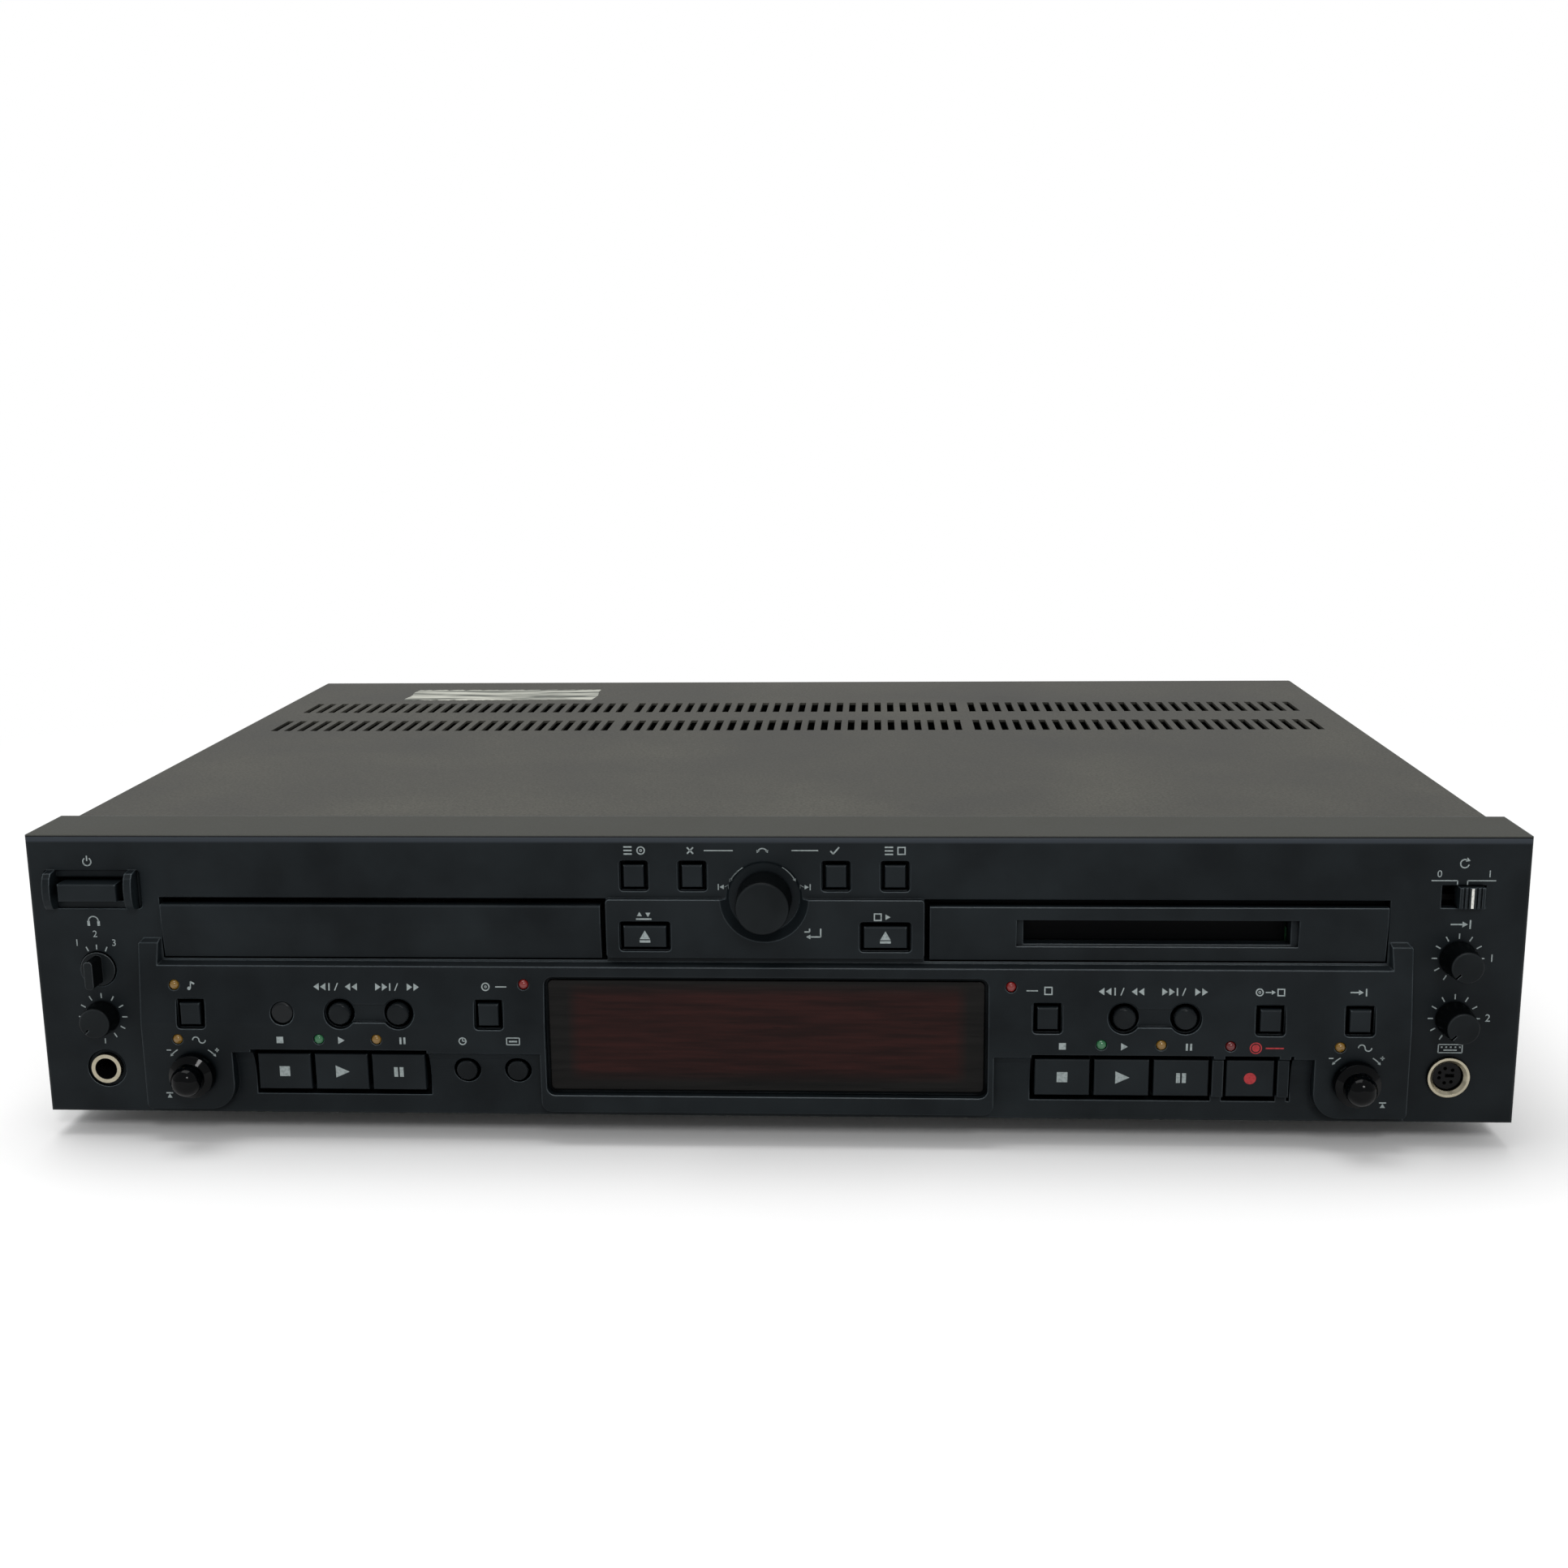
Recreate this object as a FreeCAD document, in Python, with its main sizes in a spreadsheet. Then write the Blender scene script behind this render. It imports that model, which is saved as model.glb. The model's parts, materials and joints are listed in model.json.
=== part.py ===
"""A combined disc and MiniDisc deck: a low case with a disc tray, a MiniDisc slot and a front full of controls.

Frame: millimetres, +Z up, X to the right seen from the front, Y to the back. The origin is the middle of the
outline on the surface that the feet stand on. Heights on the front are measured from the panel's lower edge.
"""
import FreeCAD, Part
import math
import os
import Sketcher
from types import SimpleNamespace
from FreeCAD import Placement, Rotation, Vector

# ---------------------------------------------------------------- driving dimensions

CASE = {
    "panel_width": 435.0,
    "panel_height": 86.0,
    "foot_height": 8.0,
    "front_plane": -140.0,
    "body_depth": 286.5,
    "bezel_depth": 25.5,
    "bezel_wall": 2.5,
    "face_thickness": 3.0,
    "bezel_rounding": 1.2,
    "sheet": 1.2,
    "sheet_gap": 0.2,
    "cover_inset": 3.9,
    "cover_sheet": 1.0,
    "cover_drop": 0.25,
    "cover_bend": 1.6,
    "cover_rise": 1.4,
    "vent_pitch": 5.1,
    "vent_group_gap": 2.1,
    "vent_width": 2.6,
    "vent_length": 21.5,
    "vent_front_back": 106.5,
    "vent_rear_back": 66.0,
    "vent_margin": 11.4,
    "flange_height": 15.0,
    "rear_flange": 14.0,
    "foot_radius": 11.0,
    "foot_inset_side": 42.0,
    "foot_setback": 48.0,
    "foot_back": 31.5,
    "screw_radius": 1.45,
    "screw_head_radius": 2.8,
    "screw_head_height": 1.9,
    "screw_length": 5.0,
    "screw_slot": 0.8,
    "low_screw_height": 18.0,
    "low_screw_setback": 60.0,
    "low_screw_back": 76.5,
    "high_screw_height": 70.0,
}

FRONT = {
    "end_width": 32.0,
    "apron_rise": 4.5,
    "apron_top_rise": 1.0,
    "apron_knee": 30.0,
    "scoop_top": 21.0,
    "scoop_bottom": 1.2,
    "ledge": 48.1,
    "ledge_slope": 0.5,
    "tab_width": 6.4,
    "tab_top": 54.9,
    "tab_bevel": 1.2,
    "tab_corner": 1.4,
    "pod_width": 26.9,
    "pod_bottom": 3.0,
    "pod_corner": 7.6,
    "pod_edge": 1.5,
    "pod_margin": 2.8,
    "block_half_width": 46.2,
    "block_bottom": 49.9,
    "block_top": 67.4,
    "block_corner": 1.0,
    "block_rise": 1.5,
    "door_inner_gap": 1.6,
    "door_outer_gap": 1.1,
    "door_bottom": 49.3,
    "door_fold": 60.0,
    "door_height": 16.2,
    "door_slope": 1.3,
    "door_thickness": 3.5,
    "door_gap": 0.6,
    "door_top_gap": 1.9,
    "window_in": 121.8,
    "window_bottom": 9.3,
    "window_top": 43.1,
    "window_corner": 1.4,
    "window_rise": 2.2,
    "window_sink": 0.8,
    "window_fit": 0.15,
    "window_rim": 1.1,
    "slot_in": 26.9,
    "slot_width": 76.3,
    "slot_bottom": 54.1,
    "slot_top": 61.2,
    "slot_rim": 2.0,
    "slot_rim_depth": 1.6,
    "flap_thickness": 1.2,
    "flap_gap": 0.4,
    "flap_pin_radius": 0.8,
    "flap_axis_depth": 6.8,
    "fin_width": 2.3,
    "fin_rise": 4.6,
    "bar_rise": 2.6,
    "bar_width": 3.2,
    "power_in": 19.3,
    "power_z": 69.7,
    "power_width": 17.4,
    "power_height": 5.2,
    "power_gap": 2.3,
    "power_lip": 1.1,
    "power_dish_width": 29.0,
    "power_dish_height": 11.7,
    "power_dish_depth": 0.7,
    "power_proud": 4.6,
    "power_travel": 3.0,
    "remote_in": 42.6,
    "remote_z": 33.0,
    "remote_radius": 3.4,
    "jog_z": 67.6,
    "jog_radius": 8.0,
    "jog_length": 11.6,
    "scoop_radius": 12.9,
    "scoop_depth": 2.2,
    "pitch_in": 15.1,
    "pitch_z": 14.3,
    "pitch_radius": 6.8,
    "pitch_tip_radius": 4.4,
    "pitch_length": 15.0,
    "selector_in": 18.8,
    "selector_z": 45.2,
    "selector_radius": 5.2,
    "selector_proud": 0.6,
    "selector_length": 7.2,
    "level_z": 30.2,
    "level_radius": 5.1,
    "level_face_radius": 4.6,
    "level_length": 6.6,
    "input_in": 19.0,
    "input_left_z": 50.3,
    "input_right_z": 32.2,
    "input_radius": 5.3,
    "input_face_radius": 4.6,
    "input_length": 9.4,
    "notch_width": 0.5,
    "notch_reach": 1.9,
    "jack_in": 18.6,
    "jack_z": 14.0,
    "jack_radius": 4.5,
    "jack_bore": 3.2,
    "jack_depth": 30.0,
    "jack_body": 14.0,
    "socket_in": 19.6,
    "socket_z": 14.5,
    "socket_radius": 6.0,
    "socket_bore": 4.4,
    "socket_funnel": 0.9,
    "socket_proud": 1.2,
    "continue_in": 18.6,
    "continue_z": 68.6,
    "continue_width": 12.4,
    "continue_height": 6.8,
    "continue_cap": 7.1,
    "continue_proud": 2.2,
    "continue_travel": 3.7,
}

CONTROLS = {
    "button_fit": 0.3,
    "button_rounding": 0.5,
    "button_proud": 0.5,
    "button_travel": 0.8,
    "button_float": 0.15,
    "button_flange": 1.2,
    "button_margin": 1.2,
    "button_gap": 1.0,
    "stem_radius": 1.3,
    "square_width": 5.9,
    "square_height": 6.6,
    "wide_width": 12.4,
    "wide_height": 6.4,
    "ring_margin": 1.35,
    "ring_depth": 0.8,
    "ring_corner": 1.2,
    "skip_radius": 3.3,
    "skip_proud": 1.1,
    "skip_rounding": 1.0,
    "small_round_radius": 3.1,
    "small_round_proud": 1.7,
    "small_round_fit": 0.9,
    "dumbbell_radius": 4.7,
    "dumbbell_waist": 5.4,
    "key_width": 15.9,
    "key_height": 11.2,
    "key_gap": 1.3,
    "key_edge": 1.3,
    "key_lift": 2.05,
    "key_middle": 14.25,
    "key_proud": 2.2,
    "key_travel": 1.0,
    "cd_keys_in": 32.4,
    "md_keys_in": 108.2,
    "record_width": 13.8,
    "record_gap": 0.9,
    "led_radius": 1.5,
    "led_fit": 0.1,
    "led_proud": 0.9,
    "remote_proud": 0.9,
    "board_setback": 15.0,
    "board_thickness": 1.6,
    "switch_side": 6.0,
    "switch_height": 3.4,
    "switch_plunger": 0.9,
    "switch_gap": 0.1,
    "spindle_radius": 3.0,
    "spindle_fit": 0.05,
    "spindle_flat": 1.5,
    "encoder_side": 12.0,
    "encoder_height": 6.5,
    "knob_clearance": 0.4,
    "push_travel": 0.8,
    "shaft_hole": 3.6,
}

LOADER = {
    "tray_inset": 0.9,
    "tray_end": 2.0,
    "tray_bottom": 54.6,
    "tray_thickness": 6.4,
    "tray_travel": 138.0,
    "disc_recess": 60.6,
    "disc_recess_depth": 3.0,
    "small_recess": 40.6,
    "small_recess_depth": 1.4,
    "disc_middle": 66.0,
    "hub_opening": 18.0,
    "pickup_opening": 36.0,
    "pickup_length": 48.0,
    "rack_width": 4.0,
    "rack_inset": 12.0,
    "rack_height": 5.0,
    "gear_module": 1.0,
    "gear_teeth": 20.0,
    "gear_thickness": 3.6,
    "gear_backlash": 0.16,
    "gear_pin_radius": 3.0,
    "gear_from_bezel": 11.0,
    "running_fit": 0.05,
    "rail_fit": 0.4,
    "rail_gap": 0.25,
    "rail_width": 4.0,
    "rail_thickness": 2.5,
    "loader_back": 104.5,
    "loader_base": 40.0,
    "loader_wall": 2.5,
    "bridge_width": 22.0,
    "bridge_height": 68.0,
    "post_radius": 4.0,
    "spin_motor_radius": 12.0,
    "turntable_radius": 15.0,
    "platter_thickness": 2.4,
    "turntable_drop": 0.8,
    "hub_radius": 7.4,
    "clamp_radius": 14.0,
    "drive_side": 3.6,
    "drive_bottom": 46.0,
    "drive_height": 25.0,
    "drive_length": 110.0,
    "drive_cavity": 70.0,
}

INSIDE = {
    "main_board_left": -30.0,
    "main_board_in": 13.6,
    "main_board_setback": 145.0,
    "main_board_back": 29.5,
    "standoff_height": 7.0,
    "transformer_in": 48.6,
    "transformer_back": 38.5,
    "transformer_width": 58.0,
    "transformer_depth": 48.0,
    "transformer_height": 50.0,
    "phono_x": 40.0,
    "phono_z": 34.0,
    "phono_spacing": 16.0,
    "phono_rows": 18.0,
    "phono_radius": 4.15,
    "phono_length": 8.0,
    "phono_base": 1.0,
    "phono_fit": 0.35,
    "gland_in": 33.6,
    "gland_z": 24.0,
    "gland_radius": 6.4,
    "gland_bore": 3.6,
    "gland_fit": 0.1,
}

# Sizes that follow from others. Places across are measured inwards from the nearest end that they belong to.
TIED = {
    "cover_width": "panel_width - cover_inset * 2",
    "vent_group_spacing": "(cover_width - vent_margin * 2) / 3",
    "vent_count": "floor((vent_group_spacing - vent_group_gap) / vent_pitch)",
    "rear_plane": "front_plane + body_depth",
    "vent_front_row": "rear_plane - vent_front_back",
    "vent_rear_row": "rear_plane - vent_rear_back",
    "foot_front": "front_plane + foot_setback",
    "foot_rear": "rear_plane - foot_back",
    "low_screw_front": "front_plane + low_screw_setback",
    "low_screw_rear": "rear_plane - low_screw_back",
    "apron_half_width": "panel_width / 2 - end_width",
    "tab_inner": "apron_half_width - tab_width",
    "pod_inner": "apron_half_width - pod_width",
    "window_half_width": "apron_half_width - window_in",
    "display_pod_half_width": "window_half_width + pod_margin",
    "door_inner": "block_half_width + door_inner_gap",
    "door_outer": "tab_inner - door_outer_gap",
    "slot_left": "door_inner + slot_in",
    "slot_right": "slot_left + slot_width",
    "power_x": "-panel_width / 2 + power_in",
    "selector_x": "-panel_width / 2 + selector_in",
    "jack_x": "-panel_width / 2 + jack_in",
    "input_x": "panel_width / 2 - input_in",
    "socket_x": "panel_width / 2 - socket_in",
    "continue_x": "panel_width / 2 - continue_in",
    "remote_x": "-apron_half_width + remote_in",
    "pitch_x": "apron_half_width - pitch_in",
    "cd_keys_left": "-apron_half_width + cd_keys_in",
    "md_keys_left": "apron_half_width - md_keys_in",
    "board_plane": "front_plane + board_setback",
    "tray_width": "door_outer - door_inner - tray_inset * 2",
    "loader_length": "body_depth - loader_back",
    "tray_length": "loader_length - tray_end",
    "main_board_right": "cover_width / 2 - main_board_in",
    "main_board_front": "front_plane + main_board_setback",
    "main_board_depth": "rear_plane - main_board_back - main_board_front",
    "transformer_x": "-cover_width / 2 + transformer_in",
    "transformer_y": "rear_plane - transformer_back",
    "gland_x": "-cover_width / 2 + gland_in",
}

# Middles of the controls: the end that they are measured from, inwards from it, and up from the lower edge.
SQUARE_BUTTONS = {
    "key_button": ("apron_left", 15.2, 32.8),
    "cd_source_button": ("apron_left", 104.2, 33.0),
    "md_source_button": ("apron_right", 103.7, 33.0),
    "dubbing_button": ("apron_right", 40.0, 32.7),
    "input_select_button": ("apron_right", 14.6, 32.7),
    "cd_menu_button": ("block_left", 8.4, 74.2),
    "no_button": ("block_left", 25.4, 74.2),
    "yes_button": ("block_right", 25.4, 74.2),
    "md_menu_button": ("block_right", 8.4, 74.2),
}
WIDE_BUTTONS = {
    "open_close_button": ("block_left", 11.4, 56.4),
    "eject_button": ("block_right", 11.2, 56.4),
}
SKIP_BUTTONS = {
    "cd_skip_back_button": ("apron_left", 59.9, 33.1),
    "cd_skip_forward_button": ("apron_left", 77.3, 33.1),
    "md_skip_back_button": ("apron_right", 81.7, 33.1),
    "md_skip_forward_button": ("apron_right", 64.2, 33.1),
}
SMALL_ROUND_BUTTONS = {
    "time_button": ("apron_left", 96.4, 14.7),
    "display_button": ("apron_left", 111.6, 14.7),
}
LEDS = {
    "key_led": ("apron_left", 10.4, 41.3),
    "cd_pitch_led": ("apron_left", 10.8, 24.9),
    "cd_play_led": ("apron_left", 53.3, 25.2),
    "cd_ready_led": ("apron_left", 70.5, 25.2),
    "cd_source_led": ("apron_left", 114.6, 41.9),
    "md_source_led": ("apron_right", 114.2, 41.9),
    "md_play_led": ("apron_right", 88.1, 25.1),
    "md_ready_led": ("apron_right", 70.9, 25.1),
    "record_led": ("apron_right", 51.1, 24.9),
    "md_pitch_led": ("apron_right", 19.9, 24.8),
}
ENDS = {
    "apron_left": "-apron_half_width +",
    "apron_right": "apron_half_width -",
    "block_left": "-block_half_width +",
    "block_right": "block_half_width -",
}
CD_KEYS = ("cd_stop_button", "cd_play_button", "cd_ready_button")
MD_KEYS = ("md_stop_button", "md_play_button", "md_ready_button")

# The finger scoop under the apron: shares of its height from the bottom, and of the apron's rise.
SCOOP = ((0.95, 0.55), (0.85, 0.3), (0.7, 0.12), (0.55, 0.04), (0.4, 0.05), (0.2, 0.15), (0.0, 0.35))
# The six contacts of the keyboard socket: turns in degrees about its middle.
CONTACT_TURNS = (48, 106, 156, 197, 254, 304)

TINY = 0.5        # how far a tool is carried past a face that it cuts through
FAR = 20.0        # how far a tool reaches in front of the panel
SCOOP_LEAN = -50  # degrees: how flat the wall of the dish round the jog knob lies
FIN_STEPS = 8     # straight steps along the bowed front of a power fin


class Size:
    """A length that carries its number and the formula that it was worked out with."""

    def __init__(self, number, formula):
        self.number = float(number)
        self.formula = formula

    def __add__(self, other):
        return Size(self.number + number(other), f"({self.formula} + {formula(other)})")

    def __sub__(self, other):
        return Size(self.number - number(other), f"({self.formula} - {formula(other)})")

    def __mul__(self, other):
        return Size(self.number * number(other), f"({self.formula} * {formula(other)})")

    def __truediv__(self, other):
        return Size(self.number / number(other), f"({self.formula} / {formula(other)})")

    def __radd__(self, other):
        return Size(number(other) + self.number, f"({formula(other)} + {self.formula})")

    def __rsub__(self, other):
        return Size(number(other) - self.number, f"({formula(other)} - {self.formula})")

    def __rmul__(self, other):
        return Size(number(other) * self.number, f"({formula(other)} * {self.formula})")

    def __neg__(self):
        return Size(-self.number, f"(0 - {self.formula})")


def number(value):
    """The plain number of a size."""
    return value.number if isinstance(value, Size) else float(value)


def formula(value):
    """The formula of a size, as the document's expressions take it."""
    if isinstance(value, Size):
        return value.formula
    return f"({float(value):.6f})"


def bind(thing, setting, value):
    """Ties one setting of a document object to a size."""
    thing.setExpression(setting, formula(value))


def fill_sheet(document):
    """Writes every driving dimension to the sheet, and returns them all as sizes."""
    sheet = document.addObject("Spreadsheet::Sheet", "Sizes")
    rows = {}
    for group in (CASE, FRONT, CONTROLS, LOADER, INSIDE):
        rows.update(group)
    for alias, rule in TIED.items():
        rows[alias] = f"={rule}"
    for group in (SQUARE_BUTTONS, WIDE_BUTTONS, SKIP_BUTTONS, SMALL_ROUND_BUTTONS, LEDS):
        for name, (end, inwards, height) in group.items():
            rows[f"{name}_in"] = inwards
            rows[f"{name}_x"] = f"={ENDS[end]} {name}_in"
            rows[f"{name}_z"] = height
    for row, alias in enumerate(rows, start=1):
        sheet.setAlias(f"A{row}", alias)
    for row, value in enumerate(rows.values(), start=1):
        sheet.set(f"A{row}", str(value))
    document.recompute()
    return SimpleNamespace(**{alias: Size(sheet.get(alias), f"Sizes.{alias}") for alias in rows})


doc = FreeCAD.newDocument("deck")
s = fill_sheet(doc)
parts = []

# ---------------------------------------------------------------- shared levels

HALF = s.panel_width / 2
BASE = s.foot_height
TOP = BASE + s.panel_height
FACE = s.front_plane
FACE_BACK = FACE + s.face_thickness
BEZEL_BACK = FACE + s.bezel_depth
REAR = s.rear_plane
SHELL_HALF = s.cover_width / 2
INNER_HALF = SHELL_HALF - s.cover_sheet - s.sheet_gap
FLOOR = BASE + s.sheet
PAN_FRONT = BEZEL_BACK
PAN_REAR = REAR - s.sheet
COVER_TOP = TOP - s.cover_drop
CEILING = COVER_TOP - s.cover_sheet - s.sheet_gap
BOARD = s.board_plane
BOARD_BACK = BOARD + s.board_thickness
DOOR_TOP = s.door_bottom + s.door_height
KEY_OPENING = s.key_height + s.key_lift * 2
KEYS_LENGTH = s.key_width * 3 + s.key_gap * 2 + s.key_edge
CD_KEYS_RIGHT = s.cd_keys_left + KEYS_LENGTH + s.key_edge
MD_KEYS_RIGHT = s.md_keys_left + KEYS_LENGTH + s.record_gap
RECORD_LEFT = MD_KEYS_RIGHT + s.bar_width
RECORD_OPENING = s.record_width + s.record_gap * 2
RECORD_RIGHT = RECORD_LEFT + RECORD_OPENING
TRAY_X = -(s.door_inner + s.door_outer) / 2
TRAY_FRONT = FACE - s.block_rise + s.door_thickness
TRAY_BOTTOM = BASE + s.tray_bottom
TRAY_TOP = TRAY_BOTTOM + s.tray_thickness
DISC_Y = TRAY_FRONT + s.disc_middle
TRAY_LEFT = TRAY_X - s.tray_width / 2
TRAY_RIGHT = TRAY_X + s.tray_width / 2
GEAR_RADIUS = s.gear_module * s.gear_teeth / 2
RACK_LINE = TRAY_LEFT + s.rack_inset + s.rack_width
GEAR_X = RACK_LINE + GEAR_RADIUS
GEAR_Y = BEZEL_BACK + s.gear_from_bezel


def up(height):
    """The height above the ground of a place measured from the panel's lower edge."""
    return BASE + height


def apron_level(height):
    """How far the apron stands in front of the face: it is upright up to its knee and then leans back."""
    if number(height) < number(s.apron_knee):
        return s.apron_rise
    lean = (s.apron_rise - s.apron_top_rise) / (s.tab_top - s.apron_knee)
    return s.apron_rise - lean * (height - s.apron_knee)


def spot(name):
    """The place of a control: across, and up from the panel's lower edge."""
    return getattr(s, f"{name}_x"), getattr(s, f"{name}_z")


# ---------------------------------------------------------------- outlines


def rule(kind, *ends, value=None):
    """One sketch rule, with the size that it is tied to if it has one."""
    if value is None:
        return Sketcher.Constraint(kind, *ends), None
    return Sketcher.Constraint(kind, *ends, number(value)), value


def fixed_point(line, end, across, height):
    """Rules that hold one end of a line at a place measured from the sketch's origin."""
    return [
        rule("DistanceX", -1, 1, line, end, value=across),
        rule("DistanceY", -1, 1, line, end, value=height),
    ]


def polygon(*points):
    """A closed outline of straight lines through the given points."""
    def draw(sketch):
        corners = [Vector(number(across), number(height), 0) for across, height in points]
        count = len(corners)
        lines = [Part.LineSegment(corners[i], corners[(i + 1) % count]) for i in range(count)]
        first = sketch.GeometryCount
        sketch.addGeometry(lines, False)
        rules = []
        for i, (across, height) in enumerate(points):
            rules.append(rule("Coincident", first + i, 2, first + (i + 1) % count, 1))
            rules += fixed_point(first + i, 1, across, height)
        return rules
    return draw


def rectangle(left, right, bottom, top):
    """A closed outline with four square corners."""
    def draw(sketch):
        west, east, south, north = number(left), number(right), number(bottom), number(top)
        corners = [(west, south), (east, south), (east, north), (west, north)]
        points = [Vector(across, height, 0) for across, height in corners]
        a = sketch.GeometryCount
        sketch.addGeometry([Part.LineSegment(points[i], points[(i + 1) % 4]) for i in range(4)], False)
        rules = [rule("Coincident", a + i, 2, a + (i + 1) % 4, 1) for i in range(4)]
        rules += [rule("Horizontal", a), rule("Vertical", a + 1)]
        rules += [rule("Horizontal", a + 2), rule("Vertical", a + 3)]
        return rules + fixed_point(a, 1, left, bottom) + fixed_point(a + 2, 1, right, top)
    return draw


def rounded(left, right, bottom, top, radius):
    """A rectangle whose corners are quarter circles."""
    def draw(sketch):
        west, east, south, north = number(left), number(right), number(bottom), number(top)
        bend = number(radius)
        middles = [(east - bend, south + bend), (east - bend, north - bend)]
        middles += [(west + bend, north - bend), (west + bend, south + bend)]
        sides = [((west + bend, south), (east - bend, south)), ((east, south + bend), (east, north - bend))]
        sides += [((east - bend, north), (west + bend, north)), ((west, north - bend), (west, south + bend))]
        pieces = []
        for i in range(4):
            pieces.append(Part.LineSegment(Vector(*sides[i][0], 0), Vector(*sides[i][1], 0)))
            ring = Part.Circle(Vector(*middles[i], 0), Vector(0, 0, 1), bend)
            turn = (i - 1) * math.pi / 2
            pieces.append(Part.ArcOfCircle(ring, turn, turn + math.pi / 2))
        a = sketch.GeometryCount
        sketch.addGeometry(pieces, False)
        rules = [rule("Tangent", a + i, 2, a + (i + 1) % 8, 1) for i in range(8)]
        rules += [rule("Horizontal", a), rule("Vertical", a + 2)]
        rules += [rule("Horizontal", a + 4), rule("Vertical", a + 6)]
        rules += [rule("Equal", a + 1, a + i) for i in (3, 5, 7)]
        rules += [rule("Radius", a + 1, value=radius)]
        rules += [rule("DistanceY", -1, 1, a, 1, value=bottom), rule("DistanceX", -1, 1, a + 2, 1, value=right)]
        rules += [rule("DistanceY", -1, 1, a + 4, 1, value=top), rule("DistanceX", -1, 1, a + 6, 1, value=left)]
        return rules
    return draw


def disc(across, height, radius):
    """A circle."""
    def draw(sketch):
        middle = Vector(number(across), number(height), 0)
        a = sketch.GeometryCount
        sketch.addGeometry([Part.Circle(middle, Vector(0, 0, 1), number(radius))], False)
        return fixed_point(a, 3, across, height) + [rule("Radius", a, value=radius)]
    return draw


def d_shape(radius, flat):
    """A round spindle's section about the origin, with a flat on its upper side."""
    def draw(sketch):
        reach, level = number(radius), number(flat)
        turn = math.asin(level / reach)
        ring = Part.Circle(Vector(0, 0, 0), Vector(0, 0, 1), reach)
        arc = Part.ArcOfCircle(ring, math.pi - turn, 2 * math.pi + turn)
        side = math.sqrt(reach ** 2 - level ** 2)
        a = sketch.GeometryCount
        chord = Part.LineSegment(Vector(side, level, 0), Vector(-side, level, 0))
        sketch.addGeometry([arc, chord], False)
        rules = [rule("Coincident", a, 3, -1, 1), rule("Radius", a, value=radius)]
        rules += [rule("Coincident", a, 2, a + 1, 1), rule("Coincident", a + 1, 2, a, 1)]
        return rules + [rule("Horizontal", a + 1), rule("DistanceY", -1, 1, a + 1, 1, value=flat)]
    return draw


# ---------------------------------------------------------------- features

PLANES = {"front": "XZ_Plane", "side": "YZ_Plane", "top": "XY_Plane"}


def new_body(name):
    """An empty body whose label is the name of the piece."""
    body = doc.addObject("PartDesign::Body", name)
    body.AllowCompound = True
    return body


def sketch_on(body, name, view, outlines, level):
    """A sketch seen from the front, the side or the top, at a level along the viewing axis."""
    sketch = body.newObject("Sketcher::SketchObject", f"{body.Name}_{name}_outline")
    planes = {feature.Role: feature for feature in body.Origin.OriginFeatures}
    sketch.AttachmentSupport = (planes[PLANES[view]], [""])
    sketch.MapMode = "FlatFace"
    bind(sketch, "AttachmentOffset.Base.z", -level if view == "front" else level)
    rules = [entry for draw in outlines for entry in draw(sketch)]
    sketch.addConstraint([constraint for constraint, _ in rules])
    for index, (_, value) in enumerate(rules):
        if value is not None:
            bind(sketch, f"Constraints[{index}]", value)
    return sketch


def add(body, name, view, outlines, low, high):
    """Pads outlines between two levels: front views count along Y, side views X, top views Z."""
    pad = body.newObject("PartDesign::Pad", f"{body.Name}_{name}")
    pad.Profile = sketch_on(body, name, view, outlines, low)
    pad.Reversed = view == "front"
    bind(pad, "Length", high - low)
    return pad


def cut(body, name, view, outlines, low, high):
    """Pockets outlines between two levels, counted as for a pad."""
    pocket = body.newObject("PartDesign::Pocket", f"{body.Name}_{name}")
    pocket.Profile = sketch_on(body, name, view, outlines, low if view == "front" else high)
    bind(pocket, "Length", high - low)
    return pocket


def spin(body, name, points, axis):
    """Turns a profile: points are (along, radius) about the Y axis or the Z axis."""
    feature = body.newObject("PartDesign::Revolution", f"{body.Name}_{name}")
    if axis == "y":
        sketch = sketch_on(body, name, "side", [polygon(*points)], Size(0, "0"))
        feature.Profile = sketch
        feature.ReferenceAxis = (sketch, ["H_Axis"])
    else:
        upright = [(radius, along) for along, radius in points]
        sketch = sketch_on(body, name, "front", [polygon(*upright)], Size(0, "0"))
        feature.Profile = sketch
        feature.ReferenceAxis = (sketch, ["V_Axis"])
    feature.Angle = 360
    return feature


def soften(body, radius, choose):
    """Rounds the edges of the body so far that the chooser picks."""
    doc.recompute()
    base = body.Tip
    picked = [f"Edge{i}" for i, edge in enumerate(base.Shape.Edges, start=1) if choose(edge.BoundBox)]
    fillet = body.newObject("PartDesign::Fillet", f"{body.Name}_rounding")
    fillet.Base = (base, picked)
    bind(fillet, "Radius", radius)
    return fillet


def lies_at(axis, level):
    """A chooser of edges that lie in one plane across an axis."""
    def choose(box):
        low, high = getattr(box, f"{axis}Min"), getattr(box, f"{axis}Max")
        return abs(low - number(level)) < 1e-4 and abs(high - number(level)) < 1e-4
    return choose


def place(thing, across=0.0, depth=0.0, height=0.0):
    """Puts a piece in its place in the deck."""
    for axis, value in zip("xyz", (across, depth, height)):
        bind(thing, f"Placement.Base.{axis}", value)
    return thing


def keep(name, thing):
    """Takes a finished object up as one named sub-part."""
    thing.Label = name
    parts.append(thing)
    return thing


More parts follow.
